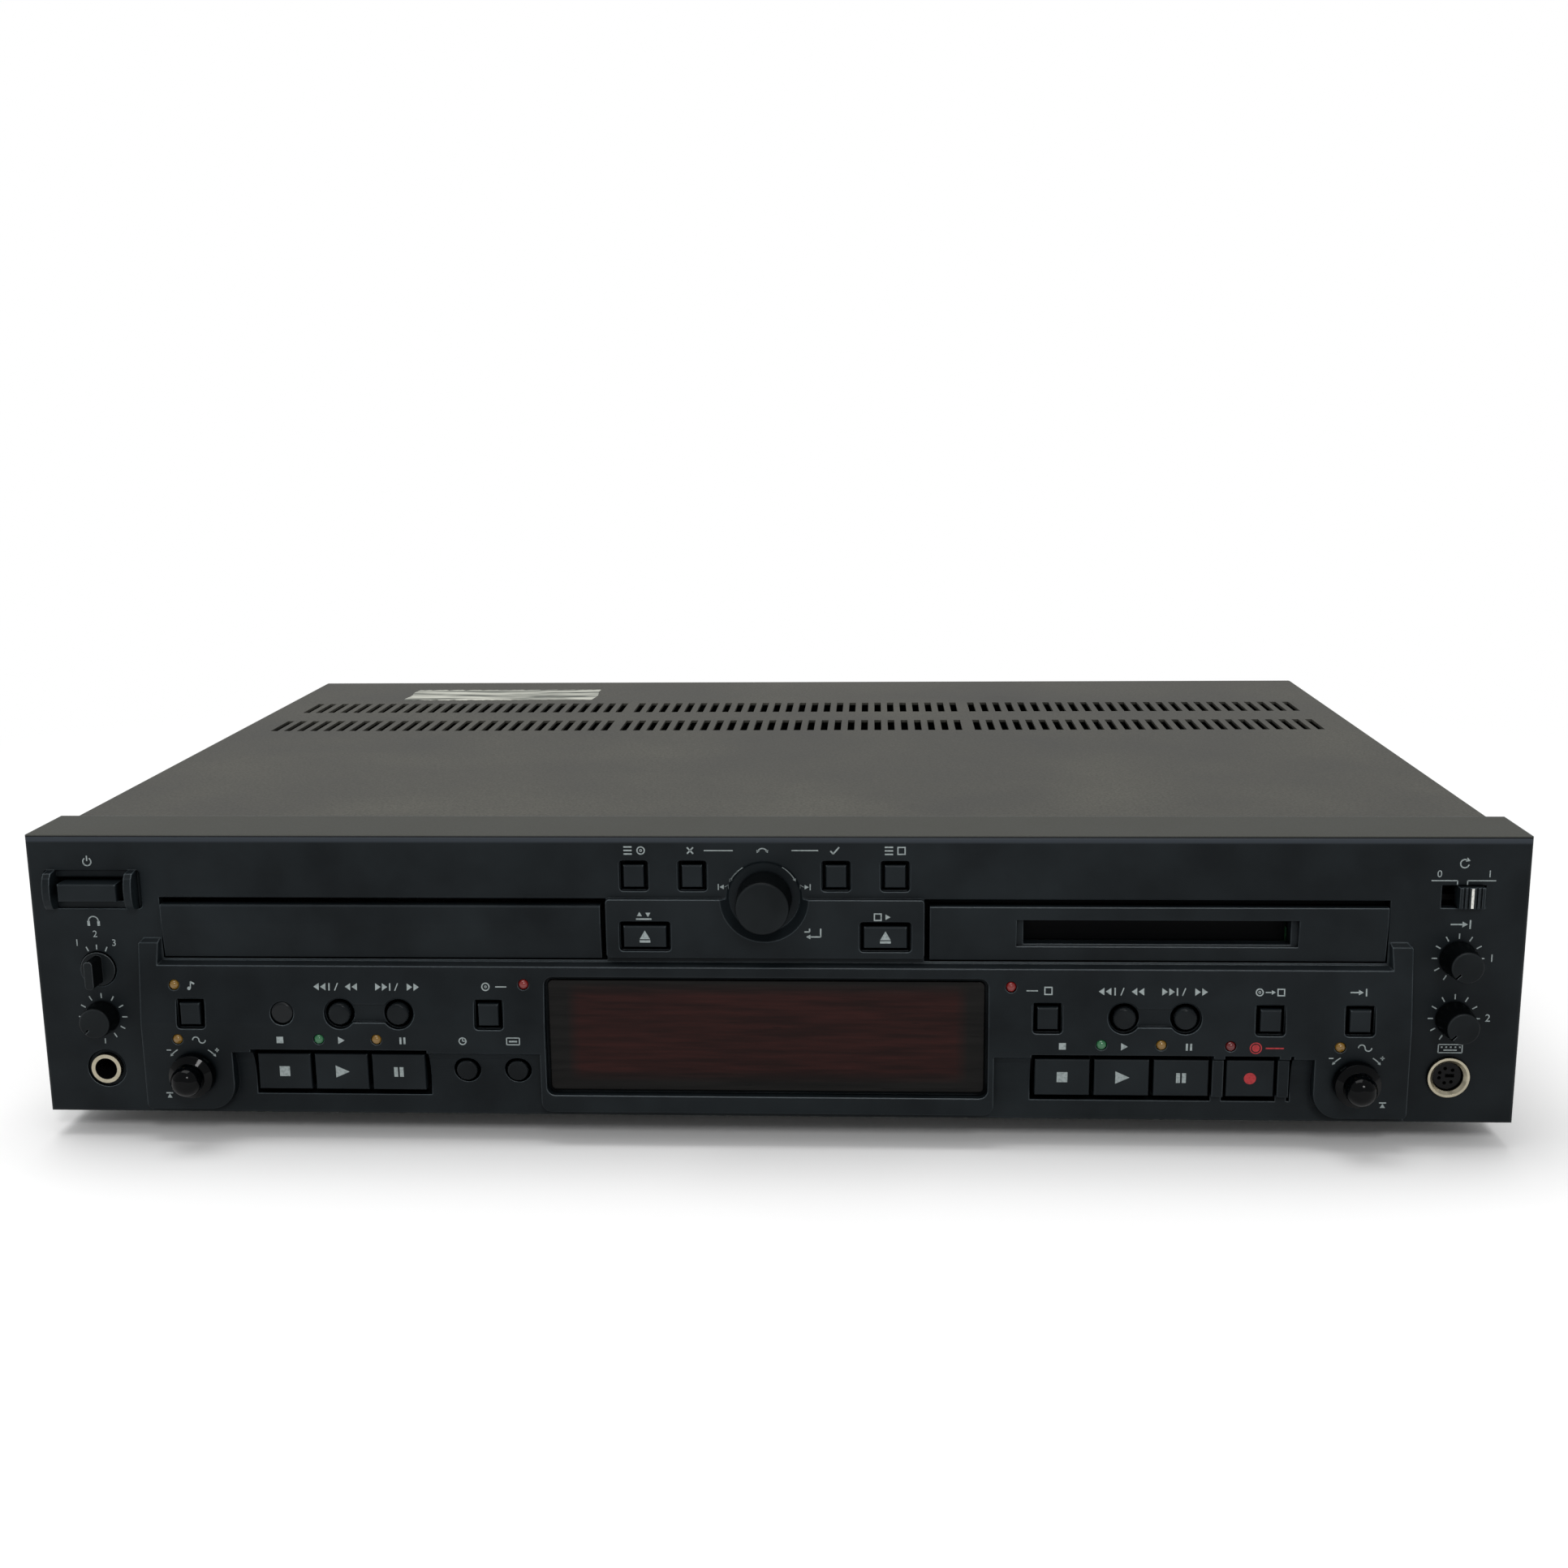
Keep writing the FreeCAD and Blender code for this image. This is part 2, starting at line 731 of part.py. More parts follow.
def box(name, across, depth, height):
    """A block between a low and a high end on each axis."""
    block = doc.addObject("Part::Box", name)
    ends = (("Length", "x", across), ("Width", "y", depth), ("Height", "z", height))
    for setting, axis, (low, high) in ends:
        bind(block, setting, high - low)
        bind(block, f"Placement.Base.{axis}", low)
    return block


TURNS = {
    "x": Rotation(Vector(0, 1, 0), 90),
    "y": Rotation(Vector(1, 0, 0), -90),
    "z": Rotation(),
}


def rod(name, radius, start, length, axis="z"):
    """A round bar that starts at a point and runs along +X, +Y or +Z."""
    bar = doc.addObject("Part::Cylinder", name)
    bind(bar, "Radius", radius)
    bind(bar, "Height", length)
    bar.Placement = Placement(Vector(0, 0, 0), TURNS[axis])
    return place(bar, *start)


def ball(name, radius, middle):
    """A sphere."""
    sphere = doc.addObject("Part::Sphere", name)
    bind(sphere, "Radius", radius)
    return place(sphere, *middle)


def joined(name, pieces):
    """One solid made of solids that overlap or touch."""
    fuse = doc.addObject("Part::MultiFuse", name)
    fuse.Shapes = pieces
    return fuse


def without(name, base, tool):
    """A solid with another one cut away."""
    result = doc.addObject("Part::Cut", name)
    result.Base = base
    result.Tool = tool
    return result


def group(name, pieces):
    """Separate solids kept together in one node."""
    compound = doc.addObject("Part::Compound", name)
    compound.Links = pieces
    return compound


# ---------------------------------------------------------------- front panel


def around(place_xz, width, height, margin):
    """The four sides of a rectangle about a middle, with a margin all round."""
    across, level = place_xz
    half_width = width / 2 + margin
    half_height = height / 2 + margin
    return across - half_width, across + half_width, up(level) - half_height, up(level) + half_height


def key_middles(left):
    """The places of three keys side by side in an opening that starts at left."""
    first = left + s.key_edge + s.key_width / 2
    step = s.key_width + s.key_gap
    return [(first + step * i, s.key_middle) for i in range(3)]


RECORD_SPOT = (RECORD_LEFT + RECORD_OPENING / 2, s.key_middle)
POWER_SPOT = (s.power_x, s.power_z)


def apron_outline(inside):
    """The apron seen from the side: a short bevel, a slope, an upright part and a scoop for the fingers."""
    bevel = s.tab_top - s.tab_bevel
    raised = FACE - s.apron_rise
    points = [(inside, up(s.tab_top)), (FACE, up(s.tab_top)), (FACE - apron_level(bevel), up(bevel))]
    points += [(raised, up(s.apron_knee)), (raised, up(s.scoop_top))]
    for height_share, rise_share in SCOOP:
        height = s.scoop_bottom + (s.scoop_top - s.scoop_bottom) * height_share
        points.append((FACE - s.apron_rise * rise_share, up(height)))
    points.append((inside, up(s.scoop_bottom)))
    return polygon(*points)


def raise_front(panel):
    """The parts of the panel that stand in front of its face."""
    raised = FACE - s.apron_rise
    inside = FACE + s.face_thickness / 2
    add(panel, "apron", "side", [apron_outline(inside)], -s.apron_half_width, s.apron_half_width)
    spread = s.ledge_slope * s.apron_rise
    reach = s.tab_inner + spread
    sill = rectangle(-reach, reach, up(s.ledge) - spread, up(s.tab_top) + s.apron_rise)
    shelf = cut(panel, "door_shelf", "front", [sill], raised, FACE)
    shelf.setExpression("TaperAngle", f"-atan({formula(s.ledge_slope)})")
    corners = []
    for side in (-1, 1):
        outer, crest = s.apron_half_width * side, up(s.tab_top)
        beyond = (s.apron_half_width + s.tab_corner) * side
        inner = (s.apron_half_width - s.tab_corner) * side
        corners.append(polygon((outer, crest - s.tab_corner), (beyond, crest), (inner, crest)))
    cut(panel, "tab_corners", "front", corners, raised, FACE)
    pods = []
    outer_edges = []
    low, high = up(s.pod_bottom), up(s.apron_knee) - TINY
    for side in (-1, 1):
        outer, inner = s.apron_half_width * side, s.pod_inner * side
        middle = (outer + inner) / 2
        left, right = (outer, inner) if side < 0 else (inner, outer)
        pods.append(rounded(left, right, low, high, s.pod_corner))
        left, right = (outer, middle) if side < 0 else (middle, outer)
        outer_edges.append(rounded(left, right, low, high, s.pod_edge))
    reach = s.display_pod_half_width
    pods.append(rounded(-reach, reach, low, high, s.pod_edge * 2))
    add(panel, "pods", "front", pods, raised, inside)
    add(panel, "pod_edges", "front", outer_edges, raised, inside)
    block = rounded(-s.block_half_width, s.block_half_width, up(s.block_bottom), up(s.block_top), s.block_corner)
    add(panel, "centre_block", "front", [block], FACE - s.block_rise, inside)
    bars = []
    for left in (MD_KEYS_RIGHT, RECORD_RIGHT):
        middle = (left + s.bar_width / 2, s.key_middle)
        bars.append(rectangle(*around(middle, s.bar_width, s.key_height, 0)))
    add(panel, "record_bars", "front", bars, FACE - s.bar_rise, inside)


def fin_outline(inside):
    """A fin beside the power key, seen from the side: its front bows out between its two ends."""
    middle = up(s.power_z)
    reach = s.power_dish_height / 2
    points = [(inside, middle - reach)]
    for step in range(FIN_STEPS + 1):
        turn = math.pi * (step / FIN_STEPS - 1 / 2)
        points.append((FACE - s.fin_rise * math.cos(turn) ** (1 / 2), middle + reach * math.sin(turn)))
    points.append((inside, middle + reach))
    return polygon(*points)


def power_fins(panel):
    """The two fins that guard the power key from a knock."""
    inside = FACE + s.face_thickness / 2
    for side, name in ((-1, "left"), (1, "right")):
        near = s.power_x + (s.power_width / 2 + s.power_gap) * side
        far = near + s.fin_width * side
        ends = (far, near) if side < 0 else (near, far)
        add(panel, f"{name}_fin", "side", [fin_outline(inside)], *ends)


def open_panel(panel):
    """The openings that go right through the face."""
    ahead, behind = FACE - FAR, FACE_BACK + TINY
    gap, top_gap = s.door_gap, s.door_top_gap
    outer, inner = s.door_outer + gap, s.block_half_width
    low, high = up(s.door_bottom) - gap, up(DOOR_TOP) + top_gap
    doors = [rectangle(-outer, -inner, low, high), rectangle(inner, outer, low, high)]
    cut(panel, "door_openings", "front", doors, ahead, behind)
    reach = s.window_half_width + s.window_fit
    low, high = up(s.window_bottom) - s.window_fit, up(s.window_top) + s.window_fit
    window = rounded(-reach, reach, low, high, s.window_corner + s.window_fit)
    low, high = up(s.key_middle) - KEY_OPENING / 2, up(s.key_middle) + KEY_OPENING / 2
    keys = [window]
    last = RECORD_RIGHT + s.bar_width
    spans = [(s.cd_keys_left, CD_KEYS_RIGHT), (s.md_keys_left, MD_KEYS_RIGHT)]
    spans += [(RECORD_LEFT, RECORD_RIGHT), (last, last + s.record_gap)]
    keys += [rectangle(left, right, low, high) for left, right in spans]
    left, right = s.power_x - s.power_width / 2 - s.power_gap, s.power_x + s.power_width / 2 + s.power_gap
    half = s.power_height / 2 + s.power_lip
    keys.append(rectangle(left, right, up(s.power_z) - half, up(s.power_z) + half))
    switch = (s.continue_x, s.continue_z)
    keys.append(rectangle(*around(switch, s.continue_width, s.continue_height, 0)))
    cut(panel, "key_openings", "front", keys, ahead, behind)
    squares = []
    for name in SQUARE_BUTTONS:
        squares.append(rectangle(*around(spot(name), s.square_width, s.square_height, s.button_gap)))
    for name in WIDE_BUTTONS:
        squares.append(rectangle(*around(spot(name), s.wide_width, s.wide_height, s.button_gap)))
    cut(panel, "button_openings", "front", squares, ahead, behind)
    rounds = []
    for name in SKIP_BUTTONS:
        across, height = spot(name)
        rounds.append(disc(across, up(height), s.skip_radius + s.button_gap))
    for name in SMALL_ROUND_BUTTONS:
        across, height = spot(name)
        rounds.append(disc(across, up(height), s.small_round_radius + s.small_round_fit))
    for name in LEDS:
        across, height = spot(name)
        rounds.append(disc(across, up(height), s.led_radius + s.led_fit))
    rounds.append(disc(s.remote_x, up(s.remote_z), s.remote_radius + s.led_fit))
    rounds.append(disc(s.jack_x, up(s.jack_z), s.jack_radius + s.led_fit))
    rounds.append(disc(s.socket_x, up(s.socket_z), s.socket_radius + s.led_fit))
    for name, (across, height) in SPINDLES.items():
        radius = s.selector_radius + s.button_fit if name == "selector" else s.shaft_hole
        rounds.append(disc(across, up(height), radius))
    cut(panel, "round_openings", "front", rounds, ahead, behind)


def recess_panel(panel):
    """The shallow rings, dishes and rims around the controls."""
    ahead = FACE - FAR
    rows = {}
    for name, (_, _, height) in SQUARE_BUTTONS.items():
        rows.setdefault(height, []).append(name)
    for names in rows.values():
        rings = []
        for name in names:
            sides = around(spot(name), s.square_width, s.square_height, s.ring_margin)
            rings.append(rounded(*sides, s.ring_corner))
        level = FACE - button_level(names[0]) + s.ring_depth
        cut(panel, f"{names[0]}_ring", "front", rings, ahead, level)
    wide = []
    for name in WIDE_BUTTONS:
        sides = around(spot(name), s.wide_width, s.wide_height, s.ring_margin)
        wide.append(rounded(*sides, s.ring_corner))
    cut(panel, "wide_rings", "front", wide, ahead, FACE - s.block_rise + s.ring_depth)
    skips = list(SKIP_BUTTONS)
    level = FACE - apron_level(s.cd_skip_back_button_z) + s.ring_depth
    ends = [disc(spot(name)[0], up(spot(name)[1]), s.dumbbell_radius) for name in skips]
    cut(panel, "skip_dishes", "front", ends, ahead, level)
    waists = []
    for left, right in (skips[:2], skips[2:]):
        height = up(spot(left)[1])
        half = s.dumbbell_waist / 2
        waists.append(rectangle(spot(left)[0], spot(right)[0], height - half, height + half))
    cut(panel, "skip_waists", "front", waists, ahead, level)
    rims = [disc(s.jack_x, up(s.jack_z), s.jack_radius + s.ring_margin)]
    cut(panel, "jack_rim", "front", rims, ahead, FACE + s.ring_depth)
    scoop = [disc(0, up(s.jog_z), s.scoop_radius)]
    dish = cut(panel, "jog_scoop", "front", scoop, FACE - s.block_rise, FACE - s.block_rise + s.scoop_depth)
    dish.TaperAngle = SCOOP_LEAN
    reach = s.window_half_width + s.window_rim
    low, high = up(s.window_bottom) - s.window_rim, up(s.window_top) + s.window_rim
    rim = rounded(-reach, reach, low, high, s.window_corner + s.window_rim)
    cut(panel, "window_rim", "front", [rim], ahead, FACE - s.window_rise + s.window_sink)
    half_width, half_height = s.power_dish_width / 2, s.power_dish_height / 2
    dish = rounded(s.power_x - half_width, s.power_x + half_width, up(s.power_z) - half_height,
                   up(s.power_z) + half_height, s.ring_corner)
    cut(panel, "power_dish", "front", [dish], ahead, FACE + s.power_dish_depth)
    power_fins(panel)


SPINDLES = {
    "jog": (Size(0, "0"), s.jog_z),
    "cd_pitch": (-s.pitch_x, s.pitch_z),
    "md_pitch": (s.pitch_x, s.pitch_z),
    "selector": (s.selector_x, s.selector_z),
    "level": (s.selector_x, s.level_z),
    "input_left": (s.input_x, s.input_left_z),
    "input_right": (s.input_x, s.input_right_z),
}


def button_level(name):
    """How far the panel's surface stands in front of its face at a square button."""
    height = spot(name)[1]
    return apron_level(height) if number(height) < number(s.ledge) else Size(0, "0")


def front_panel():
    """A shallow moulded box, open at the back, with its rim against the pan."""
    panel = new_body("front_panel")
    outline = rectangle(-HALF, HALF, BASE, TOP)
    add(panel, "block", "front", [outline], FACE, BEZEL_BACK)
    soften(panel, s.bezel_rounding, lies_at("Y", FACE))
    wall = s.bezel_wall
    hollow = rectangle(-HALF + wall, HALF - wall, BASE + wall, TOP - wall)
    cut(panel, "hollow", "front", [hollow], FACE_BACK, BEZEL_BACK + TINY)
    raise_front(panel)
    open_panel(panel)
    recess_panel(panel)
    for feature in panel.Group:
        if hasattr(feature, "Refine"):
            feature.Refine = False
    return keep("front_panel", panel)


def door_outline(back):
    """A door seen from the side: upright in its upper part, and leaning inwards below the fold."""
    front = FACE - s.block_rise
    low, fold, high = up(s.door_bottom), up(s.door_fold), up(DOOR_TOP)
    return polygon((back, low), (front + s.door_slope, low), (front, fold), (front, high), (back, high))


def slot_plate():
    """The fixed plate around the MiniDisc slot, with ears behind it for the flap's pins."""
    plate = new_body("slot_plate")
    low, high = up(s.door_bottom), up(DOOR_TOP)
    front = FACE - s.block_rise
    add(plate, "face", "side", [door_outline(FACE_BACK)], s.door_inner, s.door_outer)
    margin = s.door_top_gap * 2
    back = FACE_BACK + s.sheet
    flange = rectangle(s.door_inner, s.door_outer, low - margin, high + margin)
    add(plate, "flange", "front", [flange], FACE_BACK, back)
    left, right, bottom, top = s.slot_left, s.slot_right, up(s.slot_bottom), up(s.slot_top)
    rim = s.slot_rim
    dish = rectangle(left - rim, right + rim, bottom - rim / 4, top + rim / 4)
    cut(plate, "rim", "front", [dish], front - TINY, front + s.slot_rim_depth)
    cut(plate, "slot", "front", [rectangle(left, right, bottom, top)], front - TINY, back + TINY)
    ears = []
    for inner, outer in ((left - TINY / 2, left - rim), (right + TINY / 2, right + rim)):
        ends = (outer, inner) if number(outer) < number(inner) else (inner, outer)
        ears.append(rectangle(*ends, top - rim * 2, top + rim))
    add(plate, "ears", "front", ears, back, FACE + s.flap_axis_depth + rim)
    hole = disc(FACE + s.flap_axis_depth, top - s.flap_pin_radius, s.flap_pin_radius + s.running_fit)
    cut(plate, "pin_holes", "side", [hole], left - rim - TINY, right + rim + TINY)
    return keep("slot_plate", plate)


def slot_flap():
    """A thin dust flap that hangs from two pins behind the slot and swings inwards."""
    flap = new_body("slot_flap")
    gap, pin = s.flap_gap, s.flap_pin_radius
    left, right = s.slot_left + gap, s.slot_right - gap
    reach = s.slot_top - s.slot_bottom - gap
    leaf = rectangle(left, right, -reach, 0)
    add(flap, "leaf", "front", [leaf], -s.flap_thickness / 2, s.flap_thickness / 2)
    barrel = disc(0, 0, pin)
    add(flap, "pins", "side", [barrel], s.slot_left - s.slot_rim, s.slot_right + s.slot_rim)
    place(flap, 0, FACE + s.flap_axis_depth, up(s.slot_top) - pin)
    return keep("slot_flap", flap)


def display_window():
    """A clear block that fills the display opening, with a flange behind the face."""
    window = new_body("display_window")
    half = s.window_half_width
    low, high = up(s.window_bottom), up(s.window_top)
    pane = rounded(-half, half, low, high, s.window_corner)
    add(window, "pane", "front", [pane], FACE - s.window_rise, FACE_BACK)
    rim = s.window_rim * 2
    flange = rectangle(-half - rim, half + rim, low - rim, high + rim)
    add(window, "flange", "front", [flange], FACE_BACK, FACE_BACK + s.sheet)
    return keep("display_window", window)


def remote_window():
    """The domed lens of the remote receiver, with a collar behind the face."""
    lens = new_body("remote_window")
    radius = s.remote_radius
    front = -(apron_level(s.remote_z) + s.remote_proud)
    back = s.face_thickness
    collar = radius + s.ring_margin
    profile = [(front + radius / 4, 0), (front + radius / 4, radius), (back, radius)]
    profile += [(back, collar), (back + s.sheet, collar), (back + s.sheet, 0)]
    spin(lens, "lens", profile, "y")
    soften(lens, radius / 4, lies_at("Y", front + radius / 4))
    place(lens, s.remote_x, FACE, up(s.remote_z))
    return keep("remote_window", lens)


def led_front(name):
    """The level of an LED's tip, which stands a little in front of the panel around it."""
    return FACE - apron_level(spot(name)[1]) - s.led_proud


def status_leds():
    """Ten round LEDs that stand on the front board, each in a hole of its own."""
    lamps = []
    for name in LEDS:
        across, height = spot(name)
        tip = led_front(name)
        middle = tip + s.led_radius
        barrel = rod(f"{name}_barrel", s.led_radius, (across, middle, up(height)), BOARD - middle, "y")
        dome = ball(f"{name}_dome", s.led_radius, (across, middle, up(height)))
        lamps.append(joined(name, [barrel, dome]))
    return keep("status_leds", group("status_leds", lamps))


def phones_jack():
    """A 6.35 mm socket: a threaded metal ring in front and the contact housing behind."""
    jack = new_body("phones_jack")
    ring = s.jack_radius
    front = -s.ring_depth
    profile = [(front, 0), (front, ring), (s.face_thickness, ring), (s.face_thickness, 0)]
    spin(jack, "ring", profile, "y")
    half = s.jack_body / 2
    housing = rectangle(-half, half, -half, half)
    add(jack, "housing", "front", [housing], s.face_thickness, s.face_thickness + s.jack_depth)
    cut(jack, "bore", "front", [disc(0, 0, s.jack_bore)], front - TINY, s.jack_depth)
    place(jack, s.jack_x, FACE, up(s.jack_z))
    return keep("phones_jack", jack)


def keyboard_socket():
    """A six-pole mini-DIN socket: a metal ring around a plastic insert with its pin holes."""
    shell = new_body("socket_shell")
    ring, bore, front, funnel = s.socket_radius, s.socket_bore, -s.socket_proud, s.socket_funnel
    back, end = s.face_thickness, BOARD - FACE
    throat = front + funnel
    profile = [(throat, bore), (front, bore + funnel), (front, ring), (back, ring), (back, bore)]
    spin(shell, "ring", profile, "y")
    half = ring + s.ring_depth
    add(shell, "housing", "front", [rectangle(-half, half, -half, half)], back, end)
    insert = new_body("socket_insert")
    core = bore - s.button_fit
    contact, circle, key = core / 8, core * 0.56, core / 4
    add(insert, "core", "front", [disc(0, 0, core)], throat + funnel, back)
    holes = []
    for turn in CONTACT_TURNS:
        angle = math.radians(turn)
        holes.append(disc(circle * math.cos(angle), circle * math.sin(angle), contact))
    holes.append(rectangle(-contact, key * 2, -contact, contact))
    cut(insert, "contacts", "front", holes, front, back - TINY)
    for piece in (shell, insert):
        place(piece, s.socket_x, FACE, up(s.socket_z))
    return keep("keyboard_socket", group("keyboard_socket", [shell, insert]))


# ---------------------------------------------------------------- buttons and knobs


def push_button(name, spot_xz, level, outline, flange, proud, travel, rounding=None):
    """A cap that looks out of the panel, a flange behind the face and a stem towards its switch."""
    button = new_body(name)
    back = s.face_thickness + s.button_float
    end = BOARD - FACE - s.switch_height - s.switch_plunger - travel - s.switch_gap
    front = -(level + proud)
    add(button, "cap", "front", [outline], front, back)
    soften(button, rounding or s.button_rounding, lies_at("Y", front))
    add(button, "flange", "front", [flange], back, back + s.button_flange)
    add(button, "stem", "front", [disc(0, 0, s.stem_radius)], back + s.button_flange, end)
    place(button, spot_xz[0], FACE, up(spot_xz[1]))
    return keep(name, button)


def tile(width, height):
    """A rectangle about the origin."""
    return rectangle(-width / 2, width / 2, -height / 2, height / 2)


def all_buttons():
    """Every push button, each a piece of its own."""
    margin = s.button_margin * 2
    wide_margin = margin + s.button_gap * 2
    usual = (s.button_proud, s.button_travel)
    cap = tile(s.square_width, s.square_height)
    flange = tile(s.square_width + wide_margin, s.square_height + wide_margin)
    for name in SQUARE_BUTTONS:
        push_button(name, spot(name), button_level(name), cap, flange, *usual)
    cap = tile(s.wide_width, s.wide_height)
    flange = tile(s.wide_width + wide_margin, s.wide_height + wide_margin)
    for name in WIDE_BUTTONS:
        push_button(name, spot(name), s.block_rise, cap, flange, *usual)
    cap = disc(0, 0, s.skip_radius)
    flange = disc(0, 0, s.skip_radius + s.button_margin + s.button_gap)
    for name in SKIP_BUTTONS:
        level = apron_level(spot(name)[1])
        push_button(name, spot(name), level, cap, flange, s.skip_proud, s.button_travel, s.skip_rounding)
    cap = disc(0, 0, s.small_round_radius)
    flange = disc(0, 0, s.small_round_radius + s.button_margin + s.small_round_fit)
    for name in SMALL_ROUND_BUTTONS:
        push_button(name, spot(name), Size(0, "0"), cap, flange, s.small_round_proud, s.button_travel)
    cap = tile(s.key_width, s.key_height)
    flange = tile(s.key_width, KEY_OPENING + margin)
    for names, left in ((CD_KEYS, s.cd_keys_left), (MD_KEYS, s.md_keys_left)):
        for name, middle in zip(names, key_middles(left)):
            push_button(name, middle, Size(0, "0"), cap, flange, s.key_proud, s.key_travel)
    cap = tile(s.record_width, s.key_height)
    flange = tile(s.record_width, KEY_OPENING + margin)
    push_button("md_record_button", RECORD_SPOT, Size(0, "0"), cap, flange, s.key_proud, s.key_travel)
    cap = tile(s.power_width, s.power_height)
    flange = tile(s.power_width, s.power_height + margin + s.power_lip * 2)
    push_button("power_button", POWER_SPOT, Size(0, "0"), cap, flange, s.power_proud, s.power_travel)


def spindle(body, front, end):
    """Adds a spindle with a flat to a body, from a level in front to one inside its housing."""
    return add(body, "spindle", "front", [d_shape(s.spindle_radius, s.spindle_flat)], front, end)


def seat_in_board(body, control):
    """Puts a piece on the axis of its control, with y counted from the face."""
    across, height = SPINDLES[control]
    return place(body, across, FACE, up(height))


SPINDLE_END = BOARD - FACE - s.spindle_radius / 2
NOTCH_TURN = 45      # degrees from straight down to where a knob that is turned right down points


def turning_knob(name, control, radius, face_radius, length):
    """A tapering knob with its spindle in one piece, and a notch in its face that shows where it stands."""
    knob = new_body(name)
    back = -s.knob_clearance
    profile = [(back, 0), (back, radius), (-length, face_radius), (-length, 0)]
    spin(knob, "grip", profile, "y")
    soften(knob, s.button_rounding, lies_at("Y", -length))
    half = s.notch_width / 2
    notch = rectangle(-half, half, -radius, s.notch_reach - face_radius)
    cut(knob, "notch", "front", [notch], -length - TINY, s.notch_reach - length)
    spindle(knob, back, SPINDLE_END)
    knob.Placement = Placement(Vector(0, 0, 0), Rotation(Vector(0, 1, 0), NOTCH_TURN))
    seat_in_board(knob, control)
    return keep(name, knob)


def selector_knob():
    """A round knob set in the panel, with a tall bar across it as its pointer."""
    knob = new_body("phones_selector_knob")
    radius = s.selector_radius
    face = -s.selector_proud
    half_width, reach = radius / 4, radius * 0.82
    add(knob, "disc", "front", [disc(0, 0, radius)], face, s.face_thickness / 2)
    bar = rounded(-half_width, half_width, -reach, reach, half_width * 0.8)
    add(knob, "pointer", "front", [bar], -s.selector_length, face)
    spindle(knob, s.face_thickness / 2, SPINDLE_END)
    seat_in_board(knob, "selector")
    return keep("phones_selector_knob", knob)


def encoder(control, name, radius_profile, length):
    """An encoder's turning spindle, and the knob that slides on it to push."""
    shaft = new_body(f"{name}_shaft")
    tip = -(length - s.knob_clearance - s.push_travel - s.face_thickness)
    spindle(shaft, tip, SPINDLE_END)
    seat_in_board(shaft, control)
    keep(f"{name}_shaft", shaft)
    knob = new_body(f"{name}_knob")
    spin(knob, "grip", radius_profile, "y")
    fit = s.spindle_fit
    socket = d_shape(s.spindle_radius + fit, s.spindle_flat + fit)
    cut(knob, "socket", "front", [socket], tip - s.push_travel - fit, -s.knob_clearance + FAR)
    seat_in_board(knob, control)
    return keep(f"{name}_knob", knob), knob


def jog_knob():
    """The large flat-faced knob in the middle, which turns and pushes."""
    radius, length = s.jog_radius, s.jog_length
    back = -(s.knob_clearance + s.push_travel - s.scoop_depth + s.block_rise)
    profile = [(back, 0), (back, radius), (-length, radius * 0.96), (-length, 0)]
    knob, body = encoder("jog", "jog", profile, length)
    soften(body, s.button_rounding * 1.4, lies_at("Y", -length))
    return knob


def pitch_knob(control):
    """A tapering knob with a rounded tip, which turns and pushes."""
    radius, tip, length = s.pitch_radius, s.pitch_tip_radius, s.pitch_length
    back = -(s.apron_rise + s.knob_clearance + s.push_travel)
    waist = -length + tip * 1.3
    profile = [(back, 0), (back, radius), (back - radius / 3, radius * 0.96), (waist, tip * 1.06)]
    profile += [(-length, tip), (-length, 0)]
    knob, body = encoder(control, control, profile, length)
    soften(body, tip * 0.9, lies_at("Y", -length))
    return knob


def continue_switch():
    """The small slide switch: a ribbed cap in its slot and a lever into the switch body."""
    switch = new_body("continue_switch")
    half_cap = s.continue_cap / 2
    height = s.continue_height - s.button_fit * 2
    front = -s.continue_proud
    add(switch, "cap", "front", [rectangle(-half_cap, half_cap, -height / 2, height / 2)], front, s.face_thickness)
    ribs = []
    for i in (-2, -1, 1, 2):
        middle = s.continue_cap * i / 6
        ribs.append(rectangle(middle - s.button_fit, middle + s.button_fit, -height, height))
    cut(switch, "ribs", "front", ribs, front - TINY, front + s.button_rounding)
    lever = tile(s.stem_radius * 2, s.stem_radius * 2)
    add(switch, "lever", "front", [lever], s.face_thickness, BOARD - FACE - s.board_thickness)
    place(switch, s.continue_x + s.continue_travel / 2, FACE, up(s.continue_z))
    return keep("continue_switch", switch)


# ---------------------------------------------------------------- front board


def switch_blocks():
    """A push switch on the board behind every button."""
    middles = {}
    for names in (SQUARE_BUTTONS, WIDE_BUTTONS, SKIP_BUTTONS, SMALL_ROUND_BUTTONS):
        middles.update({name: spot(name) for name in names})
    middles.update(zip(CD_KEYS, key_middles(s.cd_keys_left)))
    middles.update(zip(MD_KEYS, key_middles(s.md_keys_left)))
    middles["md_record_button"] = RECORD_SPOT
    middles["power_button"] = POWER_SPOT
    half = s.switch_side / 2
    blocks = []
    for name, (across, height) in middles.items():
        level = up(height)
        body_front = BOARD - s.switch_height
        case = box(f"{name}_switch_case", (across - half, across + half), (body_front, BOARD), (level - half, level + half))
        start = (across, body_front - s.switch_plunger, level)
        plunger = rod(f"{name}_switch_plunger", s.stem_radius, start, s.switch_plunger + TINY, "y")
        blocks.append(joined(f"{name}_switch", [case, plunger]))
    return blocks


